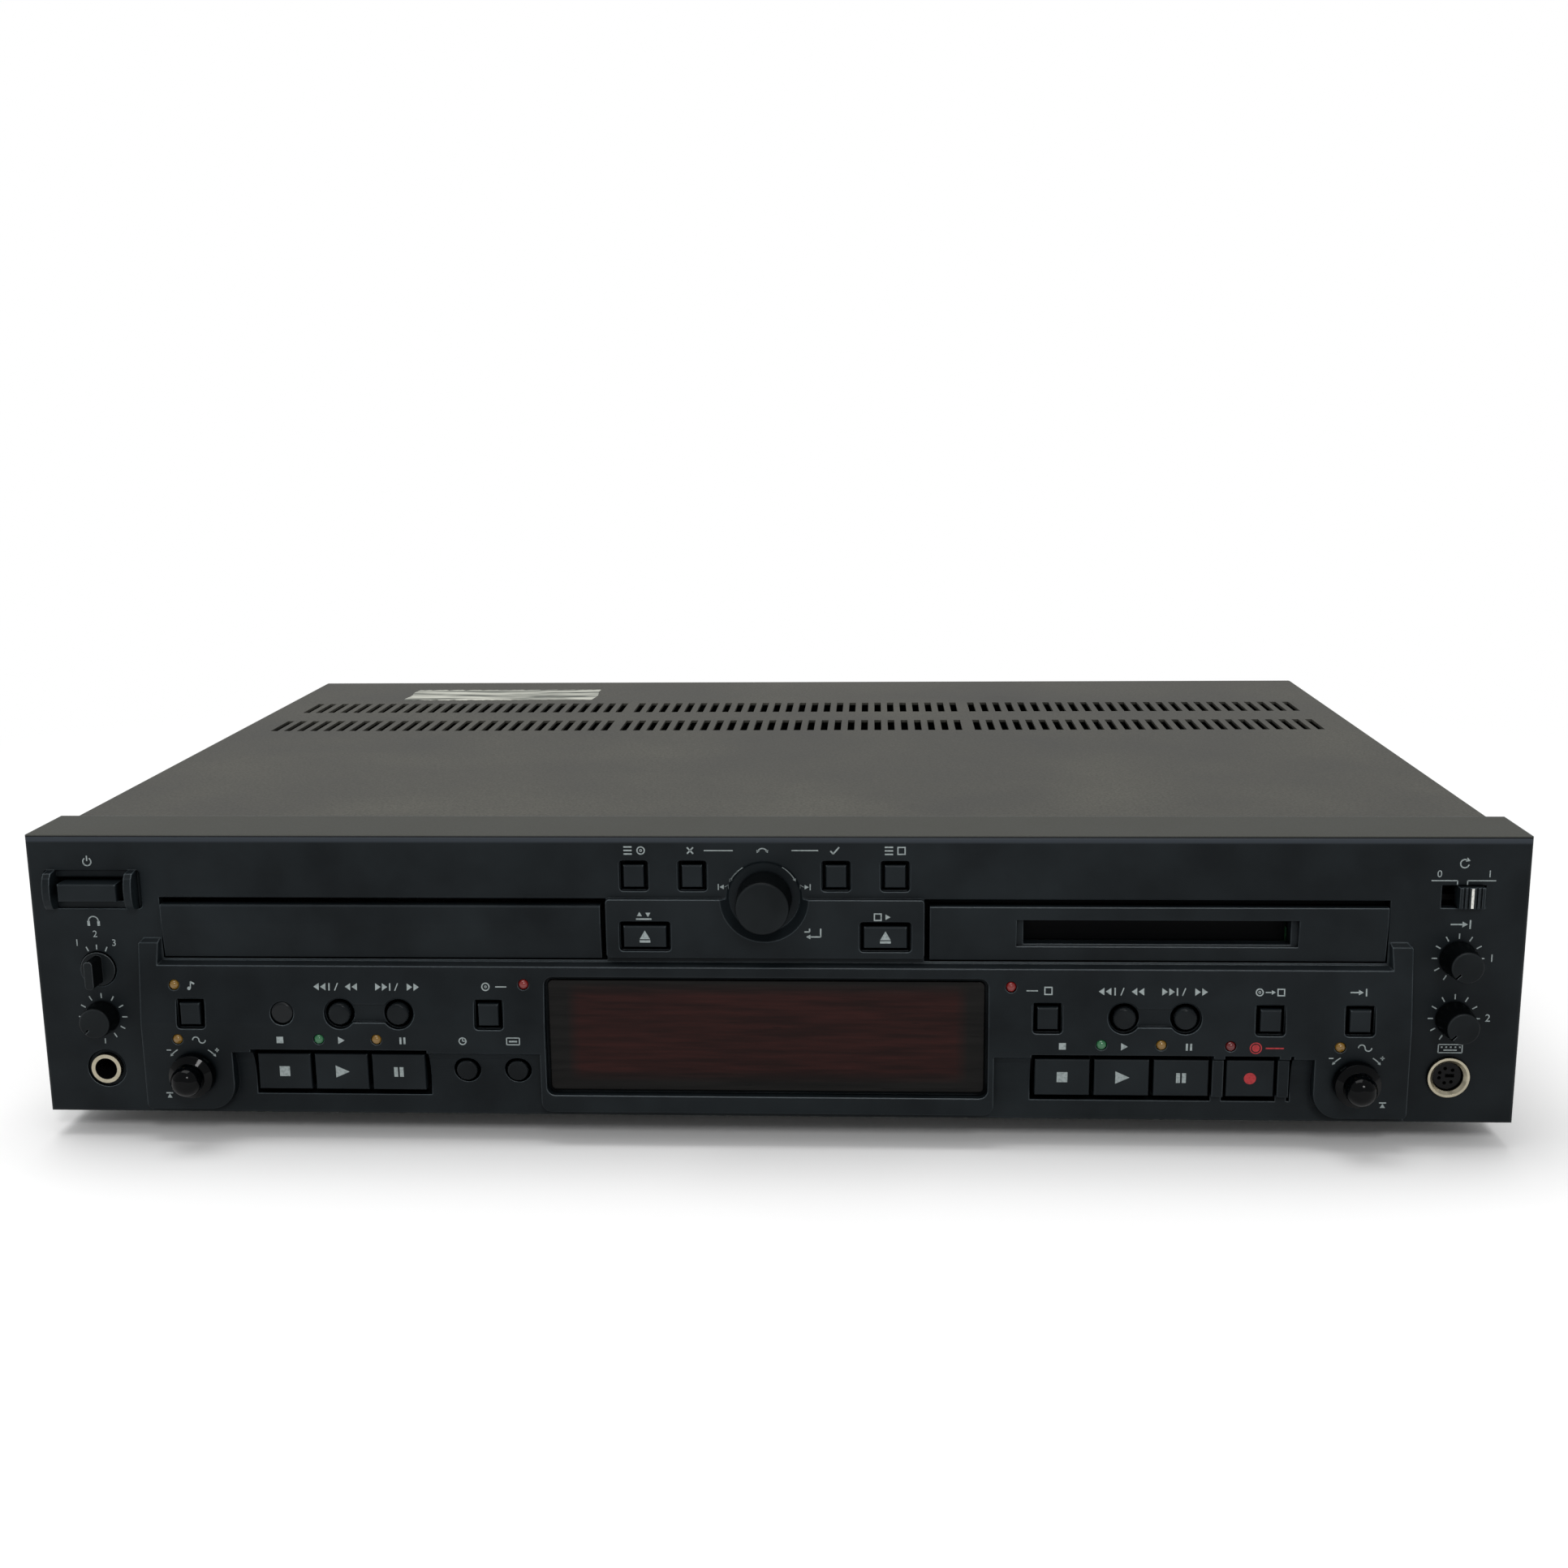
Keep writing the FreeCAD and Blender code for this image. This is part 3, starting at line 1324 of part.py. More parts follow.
def spindle_housings():
    """The encoder, potentiometer and selector housings on the board, each bored for its spindle."""
    half = s.encoder_side / 2
    housings = []
    for name, (across, height) in SPINDLES.items():
        level = up(height)
        front = BOARD - s.encoder_height
        case = box(f"{name}_case", (across - half, across + half), (front, BOARD), (level - half, level + half))
        start = (across, front - TINY, level)
        depth = SPINDLE_END - front + FACE + TINY + s.running_fit
        bore = rod(f"{name}_bore", s.spindle_radius + s.running_fit, start, depth, "y")
        housings.append(without(f"{name}_housing", case, bore))
    return housings


def front_board():
    """The board behind the panel, cut away for the tray, the MiniDisc drive and the phones socket."""
    board = new_body("board_sheet")
    gap = s.sheet
    edge = HALF - s.bezel_wall - gap
    low, high = BASE + s.bezel_wall + gap, TOP - s.bezel_wall - gap
    add(board, "sheet", "front", [rectangle(-edge, edge, low, high)], BOARD, BOARD_BACK)
    window_low = up(s.door_bottom) - s.door_top_gap * 2
    reach = s.door_outer + s.door_height / 2
    passes = []
    for left, right in ((-reach, -s.block_half_width), (s.block_half_width, reach)):
        passes.append(rectangle(left, right, window_low, high + TINY))
    margin = s.jack_body / 2 + gap
    jack = (s.jack_x - margin, s.jack_x + margin, low - TINY, up(s.jack_z) + margin)
    passes.append(rectangle(*jack))
    cut(board, "passes", "front", passes, BOARD - TINY, BOARD_BACK + TINY)
    half = s.window_half_width - s.window_rim * 3
    bottom, top = up(s.window_bottom) + s.window_rim * 3, up(s.window_top) - s.window_rim * 2
    tube_front = BOARD - s.switch_height * 2.4
    tube_back = BOARD - s.switch_height
    tube = box("display_tube", (-half, half), (tube_front, tube_back), (bottom, top))
    holder = box("display_holder", (-half, half), (tube_back, BOARD), (bottom, top))
    left, right, low, high = around((s.continue_x, s.continue_z), s.continue_width, s.continue_height, 0)
    case = box("slide_switch_case", (left, right), (BOARD - s.encoder_height, BOARD), (low, high))
    slack = s.stem_radius + s.button_fit
    middle = up(s.continue_z)
    ends = (s.continue_x - s.continue_travel / 2 - slack, s.continue_x + s.continue_travel / 2 + slack)
    depth = (BOARD - s.encoder_height - TINY, BOARD - s.board_thickness + s.button_fit)
    track = box("slide_switch_track", ends, depth, (middle - slack, middle + slack))
    slide = without("slide_switch", case, track)
    pieces = [board, tube, holder, slide] + switch_blocks() + spindle_housings()
    return keep("front_board", group("front_board", pieces))


# ---------------------------------------------------------------- case


def low_screws():
    """The places, along Y and Z, of the screws through the pan's side flanges."""
    return [(s.low_screw_front, s.low_screw_height), (s.low_screw_rear, s.low_screw_height)]


HIGH_SCREW = (REAR - s.rear_flange / 2, s.high_screw_height)


def chassis():
    """The folded pan: floor, two side flanges and an upright front sheet behind the panel."""
    pan = new_body("chassis")
    half = INNER_HALF
    add(pan, "floor", "top", [rectangle(-half, half, PAN_FRONT, PAN_REAR)], BASE, FLOOR)
    add(pan, "front", "front", [rectangle(-half, half, BASE, CEILING)], PAN_FRONT, PAN_FRONT + s.sheet)
    end = PAN_REAR - s.rear_flange - s.sheet
    for side, (left, right) in {"left": (-half, -half + s.sheet), "right": (half - s.sheet, half)}.items():
        flange = rectangle(PAN_FRONT, end, BASE, BASE + s.flange_height)
        add(pan, f"{side}_flange", "side", [flange], left, right)
    holes = [disc(depth, height, s.screw_radius) for depth, height in low_screws()]
    cut(pan, "screw_holes", "side", holes, -half - TINY, half + TINY)
    passes = []
    low, high = up(s.loader_base) - s.loader_wall, CEILING - s.flange_height / 2
    wide = s.loader_wall * 2
    passes.append(rectangle(TRAY_LEFT - wide, TRAY_RIGHT + wide, low, high))
    passes.append(rectangle(s.slot_left - wide, s.slot_right + wide, up(s.drive_bottom) - s.loader_wall, high))
    margin = s.jack_body / 2 + s.sheet
    jack_level = up(s.jack_z)
    passes.append(rectangle(s.jack_x - margin, s.jack_x + margin, jack_level - margin, jack_level + margin))
    cut(pan, "passes", "front", passes, PAN_FRONT - TINY, PAN_FRONT + s.sheet + TINY)
    return keep("chassis", pan)


def top_cover():
    """The folded steel lid, with three groups of vent slots in two rows."""
    cover = new_body("top_cover")
    half, thick, low = SHELL_HALF, s.cover_sheet, BASE + s.cover_rise
    front = BEZEL_BACK + s.sheet_gap
    arch = polygon((-half, low), (-half + thick, low), (-half + thick, COVER_TOP - thick),
                   (half - thick, COVER_TOP - thick), (half - thick, low), (half, low),
                   (half, COVER_TOP), (-half, COVER_TOP))
    add(cover, "sheet", "front", [arch], front, REAR)

    def outer_bend(box):
        on_side = abs(abs(box.XMin) - number(half)) < 1e-4 and abs(box.XMax - box.XMin) < 1e-4
        return on_side and abs(box.ZMin - number(COVER_TOP)) < 1e-4
    soften(cover, s.cover_bend, outer_bend)
    holes = [disc(depth, height, s.screw_radius + s.sheet_gap) for depth, height in low_screws() + [HIGH_SCREW]]
    cut(cover, "screw_holes", "side", holes, -half - TINY, half + TINY)
    slots = []
    first = -s.vent_pitch * (s.vent_count - 1) / 2
    for column in (-1, 0, 1):
        for row in (s.vent_front_row, s.vent_rear_row):
            middle = s.vent_group_spacing * column + first
            left, right = middle - s.vent_width / 2, middle + s.vent_width / 2
            slots.append(rectangle(left, right, row - s.vent_length / 2, row + s.vent_length / 2))
    vent = cut(cover, "vents", "top", slots, COVER_TOP - thick - TINY, COVER_TOP + TINY)
    doc.recompute()
    pattern = cover.newObject("PartDesign::LinearPattern", "top_cover_vent_rows")
    pattern.Originals = [vent]
    pattern.Direction = (vent.Profile[0], ["H_Axis"])
    bind(pattern, "Length", s.vent_pitch * (s.vent_count - 1))
    bind(pattern, "Occurrences", s.vent_count)
    cover.Tip = pattern
    return keep("top_cover", cover)


def phono_places():
    """The middles of the eight phono sockets, in four columns and two rows."""
    return [(s.phono_x + s.phono_spacing * column, s.phono_z + s.phono_rows * row)
            for column in range(4) for row in range(2)]


def rear_panel():
    """The steel back, with flanges folded forwards at both sides."""
    back = new_body("rear_panel")
    half = INNER_HALF
    add(back, "sheet", "front", [rectangle(-half, half, BASE, CEILING)], PAN_REAR, REAR)
    for side, (left, right) in {"left": (-half, -half + s.sheet), "right": (half - s.sheet, half)}.items():
        flange = rectangle(PAN_REAR - s.rear_flange, PAN_REAR, FLOOR + s.sheet_gap, CEILING)
        add(back, f"{side}_flange", "side", [flange], left, right)
    cut(back, "screw_holes", "side", [disc(*HIGH_SCREW, s.screw_radius)], -half - TINY, half + TINY)
    holes = [disc(across, height, s.phono_radius + s.sheet + s.phono_fit) for across, height in phono_places()]
    holes.append(disc(s.gland_x, up(s.gland_z), s.gland_radius + s.gland_fit))
    cut(back, "socket_holes", "front", holes, PAN_REAR - TINY, REAR + TINY)
    return keep("rear_panel", back)


def feet():
    """Four round feet under the pan."""
    pads = []
    for side in (-1, 1):
        for depth_name, depth in (("front", s.foot_front), ("rear", s.foot_rear)):
            name = f"foot_{depth_name}_{'left' if side < 0 else 'right'}"
            foot = new_body(name)
            radius, lift = s.foot_radius, s.foot_height
            profile = [(0, 0), (0, radius * 0.86), (lift, radius), (lift, 0)]
            spin(foot, "pad", profile, "z")
            place(foot, (HALF - s.foot_inset_side) * side, depth, 0)
            pads.append(foot)
    return keep("feet", group("feet", pads))


def case_screws():
    """Three pan-head screws in each side of the cover."""
    screws = []
    for side in (-1, 1):
        for index, (depth, height) in enumerate(low_screws() + [HIGH_SCREW]):
            name = f"screw_{'left' if side < 0 else 'right'}_{index}"
            screw = new_body(name)
            shank = disc(0, 0, s.screw_radius)
            head = disc(0, 0, s.screw_head_radius)
            half, slot = s.screw_head_radius, s.screw_slot / 2
            crest = s.screw_head_height
            add(screw, "shank", "side", [shank], -s.screw_length, Size(0, "0"))
            add(screw, "head", "side", [head], Size(0, "0"), crest)
            soften(screw, s.button_rounding, lies_at("X", crest))
            cut(screw, "slot", "side", [rectangle(-slot, slot, -half * 0.6, half * 0.6)], crest / 2, crest + TINY)
            cut(screw, "cross_slot", "side", [rectangle(-half * 0.6, half * 0.6, -slot, slot)], crest / 2, crest + TINY)
            if side < 0:
                screw.Placement = Placement(Vector(0, 0, 0), Rotation(Vector(0, 0, 1), 180))
            place(screw, SHELL_HALF * side, depth, height)
            screws.append(screw)
    return keep("case_screws", group("case_screws", screws))


# ---------------------------------------------------------------- inside


def main_board():
    """The large board on its standoffs, with its bigger components."""
    left, right = s.main_board_left, s.main_board_right
    front, rear = s.main_board_front, s.main_board_front + s.main_board_depth
    level = FLOOR + s.standoff_height
    top = level + s.board_thickness
    sheet = box("main_board_sheet", (left, right), (front, rear), (level, top))
    pieces = [sheet]
    inset = s.post_radius * 2
    for across in (left + inset, right - inset):
        for depth in (front + inset, rear - inset):
            name = f"standoff_{len(pieces)}"
            pieces.append(rod(name, s.post_radius, (across, depth, FLOOR), s.standoff_height))
    half_chip = s.encoder_side
    for index, share in enumerate((0.3, 0.52, 0.74)):
        across = left + (right - left) * share
        depth = front + s.main_board_depth * 0.4
        chip = box(f"chip_{index}", (across - half_chip, across + half_chip),
                   (depth - half_chip, depth + half_chip), (top, top + s.sheet * 2))
        pieces.append(chip)
    for index in range(6):
        across = left + inset * (3 + index * 2)
        start = (across, front + inset * 3, top)
        pieces.append(rod(f"capacitor_{index}", s.post_radius * 1.3, start, s.post_radius * 5))
    return keep("main_board", group("main_board", pieces))


def power_transformer():
    """A laminated core around a winding, on a foot plate."""
    across, depth = s.transformer_x, s.transformer_y
    half_width, half_depth = s.transformer_width / 2, s.transformer_depth / 2
    low, high = FLOOR, FLOOR + s.transformer_height
    inset = s.transformer_height / 5
    core = box("transformer_core", (across - half_width, across + half_width),
               (depth - half_depth / 2, depth + half_depth / 2), (low, high))
    winding = box("transformer_winding", (across - half_width + inset, across + half_width - inset),
                  (depth - half_depth, depth + half_depth), (low + inset, high - inset))
    return keep("power_transformer", joined("power_transformer", [core, winding]))


def rear_jacks():
    """Eight phono sockets: a moulded block inside and a metal sleeve through the panel for each."""
    places = phono_places()
    margin = s.phono_radius + s.sheet * 2
    left, right = places[0][0] - margin, places[-1][0] + margin
    low, high = places[0][1] - margin, places[-1][1] + margin
    block = box("phono_block", (left, right), (PAN_REAR - s.rear_flange, PAN_REAR), (low, high))
    pieces = [block]
    for index, (across, height) in enumerate(places):
        sleeve = new_body(f"phono_{index}")
        base, length = s.sheet + s.phono_base, s.sheet + s.phono_length
        add(sleeve, "base", "front", [disc(0, 0, s.phono_radius + s.sheet)], Size(0, "0"), base)
        add(sleeve, "sleeve", "front", [disc(0, 0, s.phono_radius)], base, length)
        cut(sleeve, "contact", "front", [disc(0, 0, s.phono_radius * 0.4)], base, length + TINY)
        place(sleeve, across, PAN_REAR, height)
        pieces.append(sleeve)
    return keep("rear_jacks", group("rear_jacks", pieces))


def cord_gland():
    """The bush where a mains cord would leave: a neck through the back with a collar on each side."""
    gland = new_body("cord_gland")
    neck, bore = s.gland_radius, s.gland_bore
    collar = neck + s.sheet * 1.5
    inner, outer = -s.sheet, Size(0, "0")
    thick = s.sheet * 2
    profile = [(inner - thick, bore), (inner - thick, collar), (inner, collar), (inner, neck), (outer, neck),
               (outer, collar), (outer + thick, collar), (outer + thick * 3, neck * 0.8), (outer + thick * 3, bore)]
    spin(gland, "bush", profile, "y")
    place(gland, s.gland_x, REAR, up(s.gland_z))
    return keep("cord_gland", gland)


# ---------------------------------------------------------------- disc loader


GEAR_TOP = TRAY_BOTTOM - s.rail_gap * 6
GEAR_BOTTOM = GEAR_TOP - s.gear_thickness
HUB_TOP = TRAY_BOTTOM - s.turntable_drop


def loader_frame_body():
    """Base plate, side walls, rails, bridge and posts of the disc loader, in one moulding."""
    frame = new_body("loader_moulding")
    wall, gap = s.loader_wall, s.rail_gap
    inner_left, inner_right = TRAY_LEFT - s.rail_fit, TRAY_RIGHT + s.rail_fit
    left, right = inner_left - wall, inner_right + wall
    front = PAN_FRONT + s.sheet + s.sheet
    rear = front + s.loader_length
    base, base_top = up(s.loader_base), up(s.loader_base) + wall
    add(frame, "base", "top", [rectangle(left, right, front, rear)], base, base_top)
    crest = up(s.bridge_height)
    walls = [rectangle(left, inner_left, base, crest), rectangle(inner_right, right, base, crest)]
    add(frame, "walls", "front", walls, front, rear)
    rail = s.rail_width
    under = TRAY_BOTTOM - gap
    over = TRAY_TOP + gap
    rails = []
    for edge, reach in ((inner_left, inner_left + rail), (inner_right, inner_right - rail)):
        ends = (edge, reach) if number(edge) < number(reach) else (reach, edge)
        rails.append(rectangle(*ends, under - s.rail_thickness, under))
        rails.append(rectangle(*ends, over, over + s.rail_thickness))
    add(frame, "rails", "front", rails, front, rear)
    bridge = rectangle(left, right, DISC_Y - s.bridge_width / 2, DISC_Y + s.bridge_width / 2)
    add(frame, "bridge", "top", [bridge], crest, crest + wall)
    cut(frame, "clamp_hole", "top", [disc(TRAY_X, DISC_Y, s.hub_radius)], crest - TINY, crest + wall + TINY)
    inset = s.post_radius + wall
    posts = [disc(across, depth, s.post_radius) for across in (left + inset, right - inset)
             for depth in (front + inset, rear - inset)]
    add(frame, "posts", "top", posts, FLOOR, base)
    pin = s.gear_pin_radius
    seat = GEAR_BOTTOM - s.running_fit
    add(frame, "gear_seat", "top", [disc(GEAR_X, GEAR_Y, pin * 1.5)], base_top, seat)
    add(frame, "gear_pin", "top", [disc(GEAR_X, GEAR_Y, pin)], seat, TRAY_BOTTOM - s.rail_gap * 4)
    return frame


def disc_loader_frame():
    """The loader's fixed pieces: moulding, spindle motor, pickup and its two guide rods."""
    frame = loader_frame_body()
    base_top = up(s.loader_base) + s.loader_wall
    radius = s.spin_motor_radius
    motor_top = base_top + radius / 2
    case = rod("spindle_motor_case", radius, (TRAY_X, DISC_Y, base_top), radius / 2)
    bore = rod("spindle_motor_bore", s.screw_radius + s.running_fit, (TRAY_X, DISC_Y, base_top + TINY), radius)
    motor = without("spindle_motor", case, bore)
    start, end = DISC_Y + radius + s.rail_width, DISC_Y + s.disc_recess
    rod_level = base_top + s.rail_width
    rods = []
    for side in (-1, 1):
        across = TRAY_X + s.pickup_opening / 2 * side
        rods.append(rod(f"guide_rod_{side + 1}", s.screw_radius, (across, start, rod_level), end - start, "y"))
    half = s.pickup_opening / 2 - s.screw_radius - s.rail_fit
    middle = (start + end) / 2
    sled = box("pickup_sled", (TRAY_X - half, TRAY_X + half), (middle - half, middle + half),
               (base_top + s.rail_fit, motor_top))
    lens = rod("pickup_lens", s.post_radius, (TRAY_X, middle - half / 2, motor_top - TINY), s.sheet * 2)
    pickup = joined("pickup", [sled, lens])
    return keep("disc_loader_frame", group("disc_loader_frame", [frame, motor, pickup] + rods))


def disc_tray():
    """The sliding tray: stepped disc recess, opening for the hub and pickup, and a rack below."""
    tray = new_body("disc_tray")
    front, rear = TRAY_FRONT, TRAY_FRONT + s.tray_length
    add(tray, "plate", "top", [rectangle(TRAY_LEFT, TRAY_RIGHT, front, rear)], TRAY_BOTTOM, TRAY_TOP)
    floor = TRAY_TOP - s.disc_recess_depth
    cut(tray, "disc_recess", "top", [disc(TRAY_X, DISC_Y, s.disc_recess)], floor, TRAY_TOP + TINY)
    lower = floor - s.small_recess_depth
    cut(tray, "small_recess", "top", [disc(TRAY_X, DISC_Y, s.small_recess)], lower, floor + TINY)
    hub = [disc(TRAY_X, DISC_Y, s.hub_opening)]
    cut(tray, "hub_opening", "top", hub, TRAY_BOTTOM - TINY, floor)
    half = s.pickup_opening / 2 - s.button_fit
    way = rectangle(TRAY_X - half, TRAY_X + half, DISC_Y, DISC_Y + s.pickup_length)
    cut(tray, "pickup_opening", "top", [way], TRAY_BOTTOM - TINY, floor)
    root = RACK_LINE - s.gear_module * 1.25
    rack_front = BEZEL_BACK
    bar = rectangle(RACK_LINE - s.rack_width, root, rack_front, rear)
    rack_bottom = TRAY_BOTTOM - s.rack_height
    add(tray, "rack_bar", "top", [bar], rack_bottom, TRAY_BOTTOM)
    pitch = s.gear_module * math.pi
    lean = math.tan(math.radians(20))
    tip, half_tip = RACK_LINE + s.gear_module, pitch / 4 - s.gear_module * lean - s.gear_backlash / 2
    half_root = pitch / 4 + s.gear_module * (1.25 * lean) - s.gear_backlash / 2
    middle = GEAR_Y - pitch * 1.5
    tooth = polygon((root - TINY, middle - half_root), (root, middle - half_root), (tip, middle - half_tip),
                    (tip, middle + half_tip), (root, middle + half_root), (root - TINY, middle + half_root))
    first = add(tray, "rack_tooth", "top", [tooth], rack_bottom, TRAY_BOTTOM)
    doc.recompute()
    count = int((number(rear) - number(middle)) / number(pitch))
    teeth = tray.newObject("PartDesign::LinearPattern", "disc_tray_rack_teeth")
    teeth.Originals = [first]
    teeth.Direction = (first.Profile[0], ["V_Axis"])
    bind(teeth, "Length", pitch * (count - 1))
    teeth.Occurrences = count
    tray.Tip = teeth
    return keep("disc_tray", tray)


def tray_door():
    """The tray's front, which fills the left opening of the panel when the tray is in."""
    door = new_body("tray_door")
    front = FACE - s.block_rise
    add(door, "plate", "side", [door_outline(TRAY_FRONT)], -s.door_outer, -s.door_inner)

    def upper_edge(box):
        return lies_at("Y", front)(box) and lies_at("Z", up(DOOR_TOP))(box)
    soften(door, s.button_rounding, upper_edge)
    return keep("tray_door", door)


def gear_outline(module, teeth, backlash):
    """A spur gear's outline about the origin, with involute flanks and a tooth on the -X axis."""
    pressure = math.radians(20)
    pitch = module * teeth / 2
    base, tip, root = pitch * math.cos(pressure), pitch + module * 0.95, pitch - module * 1.25
    involute = math.tan(pressure) - pressure
    half_tooth = math.pi / (2 * teeth) - backlash / (2 * pitch) + involute
    points = []
    steps = 5
    for tooth in range(int(teeth)):
        middle = math.pi + 2 * math.pi * tooth / teeth
        flank = []
        for step in range(steps + 1):
            radius = max(base, root) + (tip - max(base, root)) * step / steps
            lean = math.acos(min(1, base / radius))
            flank.append((radius, half_tooth - (math.tan(lean) - lean)))
        foot = (root, flank[0][1])
        rising = [foot] + flank
        points += [(radius, middle - turn) for radius, turn in rising]
        points += [(radius, middle + turn) for radius, turn in reversed(rising)]
    return [Vector(radius * math.cos(turn), radius * math.sin(turn), 0) for radius, turn in points]


def tray_gear():
    """The pinion that drives the rack: involute teeth, bored for the pin of the loader frame."""
    outline = gear_outline(number(s.gear_module), number(s.gear_teeth), number(s.gear_backlash))
    face = Part.Face(Part.makePolygon(outline + outline[:1]))
    wheel = face.extrude(Vector(0, 0, number(s.gear_thickness)))
    bore = Part.makeCylinder(number(s.gear_pin_radius + s.running_fit), number(s.gear_thickness))
    gear = doc.addObject("Part::Feature", "tray_gear")
    gear.Shape = wheel.cut(bore)
    place(gear, GEAR_X, GEAR_Y, GEAR_BOTTOM)
    return keep("tray_gear", gear)


def turntable():
    """The hub that carries the disc, lowered below the tray, and the clamp puck above it."""
    radius, hub = s.turntable_radius, s.hub_radius
    motor_top = up(s.loader_base) + s.loader_wall + s.spin_motor_radius / 2
    platter = new_body("turntable_platter")
    low = motor_top + s.rail_gap
    disc_top = low + s.platter_thickness
    profile = [(motor_top - s.post_radius, 0), (motor_top - s.post_radius, s.screw_radius), (low, s.screw_radius),
               (low, radius), (disc_top, radius), (disc_top, hub), (HUB_TOP - s.sheet, hub),
               (HUB_TOP, hub * 0.6), (HUB_TOP, 0)]
    spin(platter, "turned", profile, "z")
    clamp = new_body("turntable_clamp")
    crest = up(s.bridge_height)
    neck = hub - s.rail_fit
    puck_top = crest - s.rail_gap * 2
    cap_low = crest + s.loader_wall + s.rail_gap
    profile = [(puck_top - s.sheet * 2, 0), (puck_top - s.sheet * 2, hub), (puck_top - s.sheet, s.clamp_radius),
               (puck_top, s.clamp_radius), (puck_top, neck), (cap_low, neck), (cap_low, s.clamp_radius * 0.75),
               (cap_low + s.sheet, s.clamp_radius * 0.75), (cap_low + s.sheet, 0)]
    spin(clamp, "turned", profile, "z")
    for piece in (platter, clamp):
        place(piece, TRAY_X, DISC_Y, 0)
    return keep("turntable", group("turntable", [platter, clamp]))


def minidisc_drive():
    """The closed drive unit behind the slot: a metal box on four posts, open in front."""
    drive = new_body("minidisc_drive")
    left, right = s.slot_left - s.drive_side, s.slot_right + s.drive_side
    front = PAN_FRONT + s.sheet * 2
    rear = front + s.drive_length
    low = up(s.drive_bottom)
    add(drive, "case", "top", [rectangle(left, right, front, rear)], low, low + s.drive_height)
    mouth = rectangle(s.slot_left, s.slot_right, up(s.slot_bottom), up(s.slot_top))
    cut(drive, "cavity", "front", [mouth], front - TINY, front + s.drive_cavity)
    inset = s.post_radius
    posts = [disc(across, depth, s.post_radius) for across in (left + inset, right - inset)
             for depth in (front + inset, rear - inset)]
    add(drive, "posts", "top", posts, FLOOR, low)
    return keep("minidisc_drive", drive)


# ---------------------------------------------------------------- build, check and write


def build():
    """Makes every sub-part."""
    front_panel()
    slot_plate()
    slot_flap()
    display_window()
    remote_window()
    status_leds()
    phones_jack()
    keyboard_socket()
    all_buttons()
    selector_knob()
    turning_knob("phones_level_knob", "level", s.level_radius, s.level_face_radius, s.level_length)
    turning_knob("input_left_knob", "input_left", s.input_radius, s.input_face_radius, s.input_length)
    turning_knob("input_right_knob", "input_right", s.input_radius, s.input_face_radius, s.input_length)
    jog_knob()
    pitch_knob("cd_pitch")
    pitch_knob("md_pitch")
    continue_switch()
    front_board()
    chassis()
    top_cover()
    rear_panel()
    feet()
    case_screws()
    main_board()
    power_transformer()
    rear_jacks()
    cord_gland()
    disc_loader_frame()
    disc_tray()
    tray_door()
    tray_gear()
    turntable()
    minidisc_drive()
    doc.recompute()


def check():
    """Stops with a message if an object failed or a sub-part is empty or not valid."""
    for thing in doc.Objects:
        if {"Invalid", "Error"} & set(thing.State):
            raise RuntimeError(f"{thing.Name} failed: {thing.State}")
    for piece in parts:
        if piece.Shape.isNull() or not piece.Shape.isValid() or not piece.Shape.Solids:
            raise RuntimeError(f"{piece.Label} has no valid solid")


def write():
    """Writes each sub-part to a file of its own."""
    os.makedirs("parts", exist_ok=True)
    for piece in parts:
        piece.Shape.exportStep(f"parts/{piece.Label}.step")
        print(f"{piece.Label}: {len(piece.Shape.Solids)} solids, {piece.Shape.Volume:.0f} mm3")


build()
check()
write()
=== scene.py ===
# %% [markdown]
# # A minidisc deck with a disc tray
# The deck is a low, wide case: a moulded front full of keys and knobs, and a bent steel cover. The packed
# model gives every hard part at its real place, in metres. This script dresses it: lamps, printed marks and
# finishes.

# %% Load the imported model
import json
import math

import bpy
from mathutils import Matrix, Vector


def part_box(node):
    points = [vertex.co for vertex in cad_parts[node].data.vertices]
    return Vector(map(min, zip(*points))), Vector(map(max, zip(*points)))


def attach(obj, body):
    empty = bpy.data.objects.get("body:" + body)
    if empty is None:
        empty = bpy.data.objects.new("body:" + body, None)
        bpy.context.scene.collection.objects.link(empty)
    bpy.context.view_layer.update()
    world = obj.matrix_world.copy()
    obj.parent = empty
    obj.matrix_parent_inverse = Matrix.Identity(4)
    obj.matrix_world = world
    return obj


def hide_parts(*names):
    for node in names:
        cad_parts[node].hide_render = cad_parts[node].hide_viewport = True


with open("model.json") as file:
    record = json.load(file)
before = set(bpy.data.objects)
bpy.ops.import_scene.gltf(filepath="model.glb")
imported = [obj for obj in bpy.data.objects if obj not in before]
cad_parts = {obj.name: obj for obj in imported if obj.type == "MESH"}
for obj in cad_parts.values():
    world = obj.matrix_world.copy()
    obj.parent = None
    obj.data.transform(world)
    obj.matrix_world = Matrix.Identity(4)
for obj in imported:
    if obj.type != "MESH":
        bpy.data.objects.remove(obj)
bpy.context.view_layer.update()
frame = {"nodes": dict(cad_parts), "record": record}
nodes = frame["nodes"]

# %% [markdown]
# Sizes in this script are millimetres. Heights on the front are easiest to think of from the panel's lower
# edge, and depths from its flat face. One helper turns such a place into a point of the model.

# %% A place on the front
MM = 0.001
FACE = -140.0
FOOT = 8.0
UPRIGHT = math.pi / 2


def front_point(across, height, proud=0.0):
    """A point on the front, from how far across, up from the panel's lower edge and out from its face."""
    return Vector((across, FACE - proud, FOOT + height)) * MM


print("panel's middle:", front_point(0, 43))

# %% [markdown]
# ## Finishes
# A colour is picked as people pick colours on a screen, as an sRGB hex code, but a shader adds up light, so
# the code is turned to linear numbers first. One small function adds a node, its settings and its links.

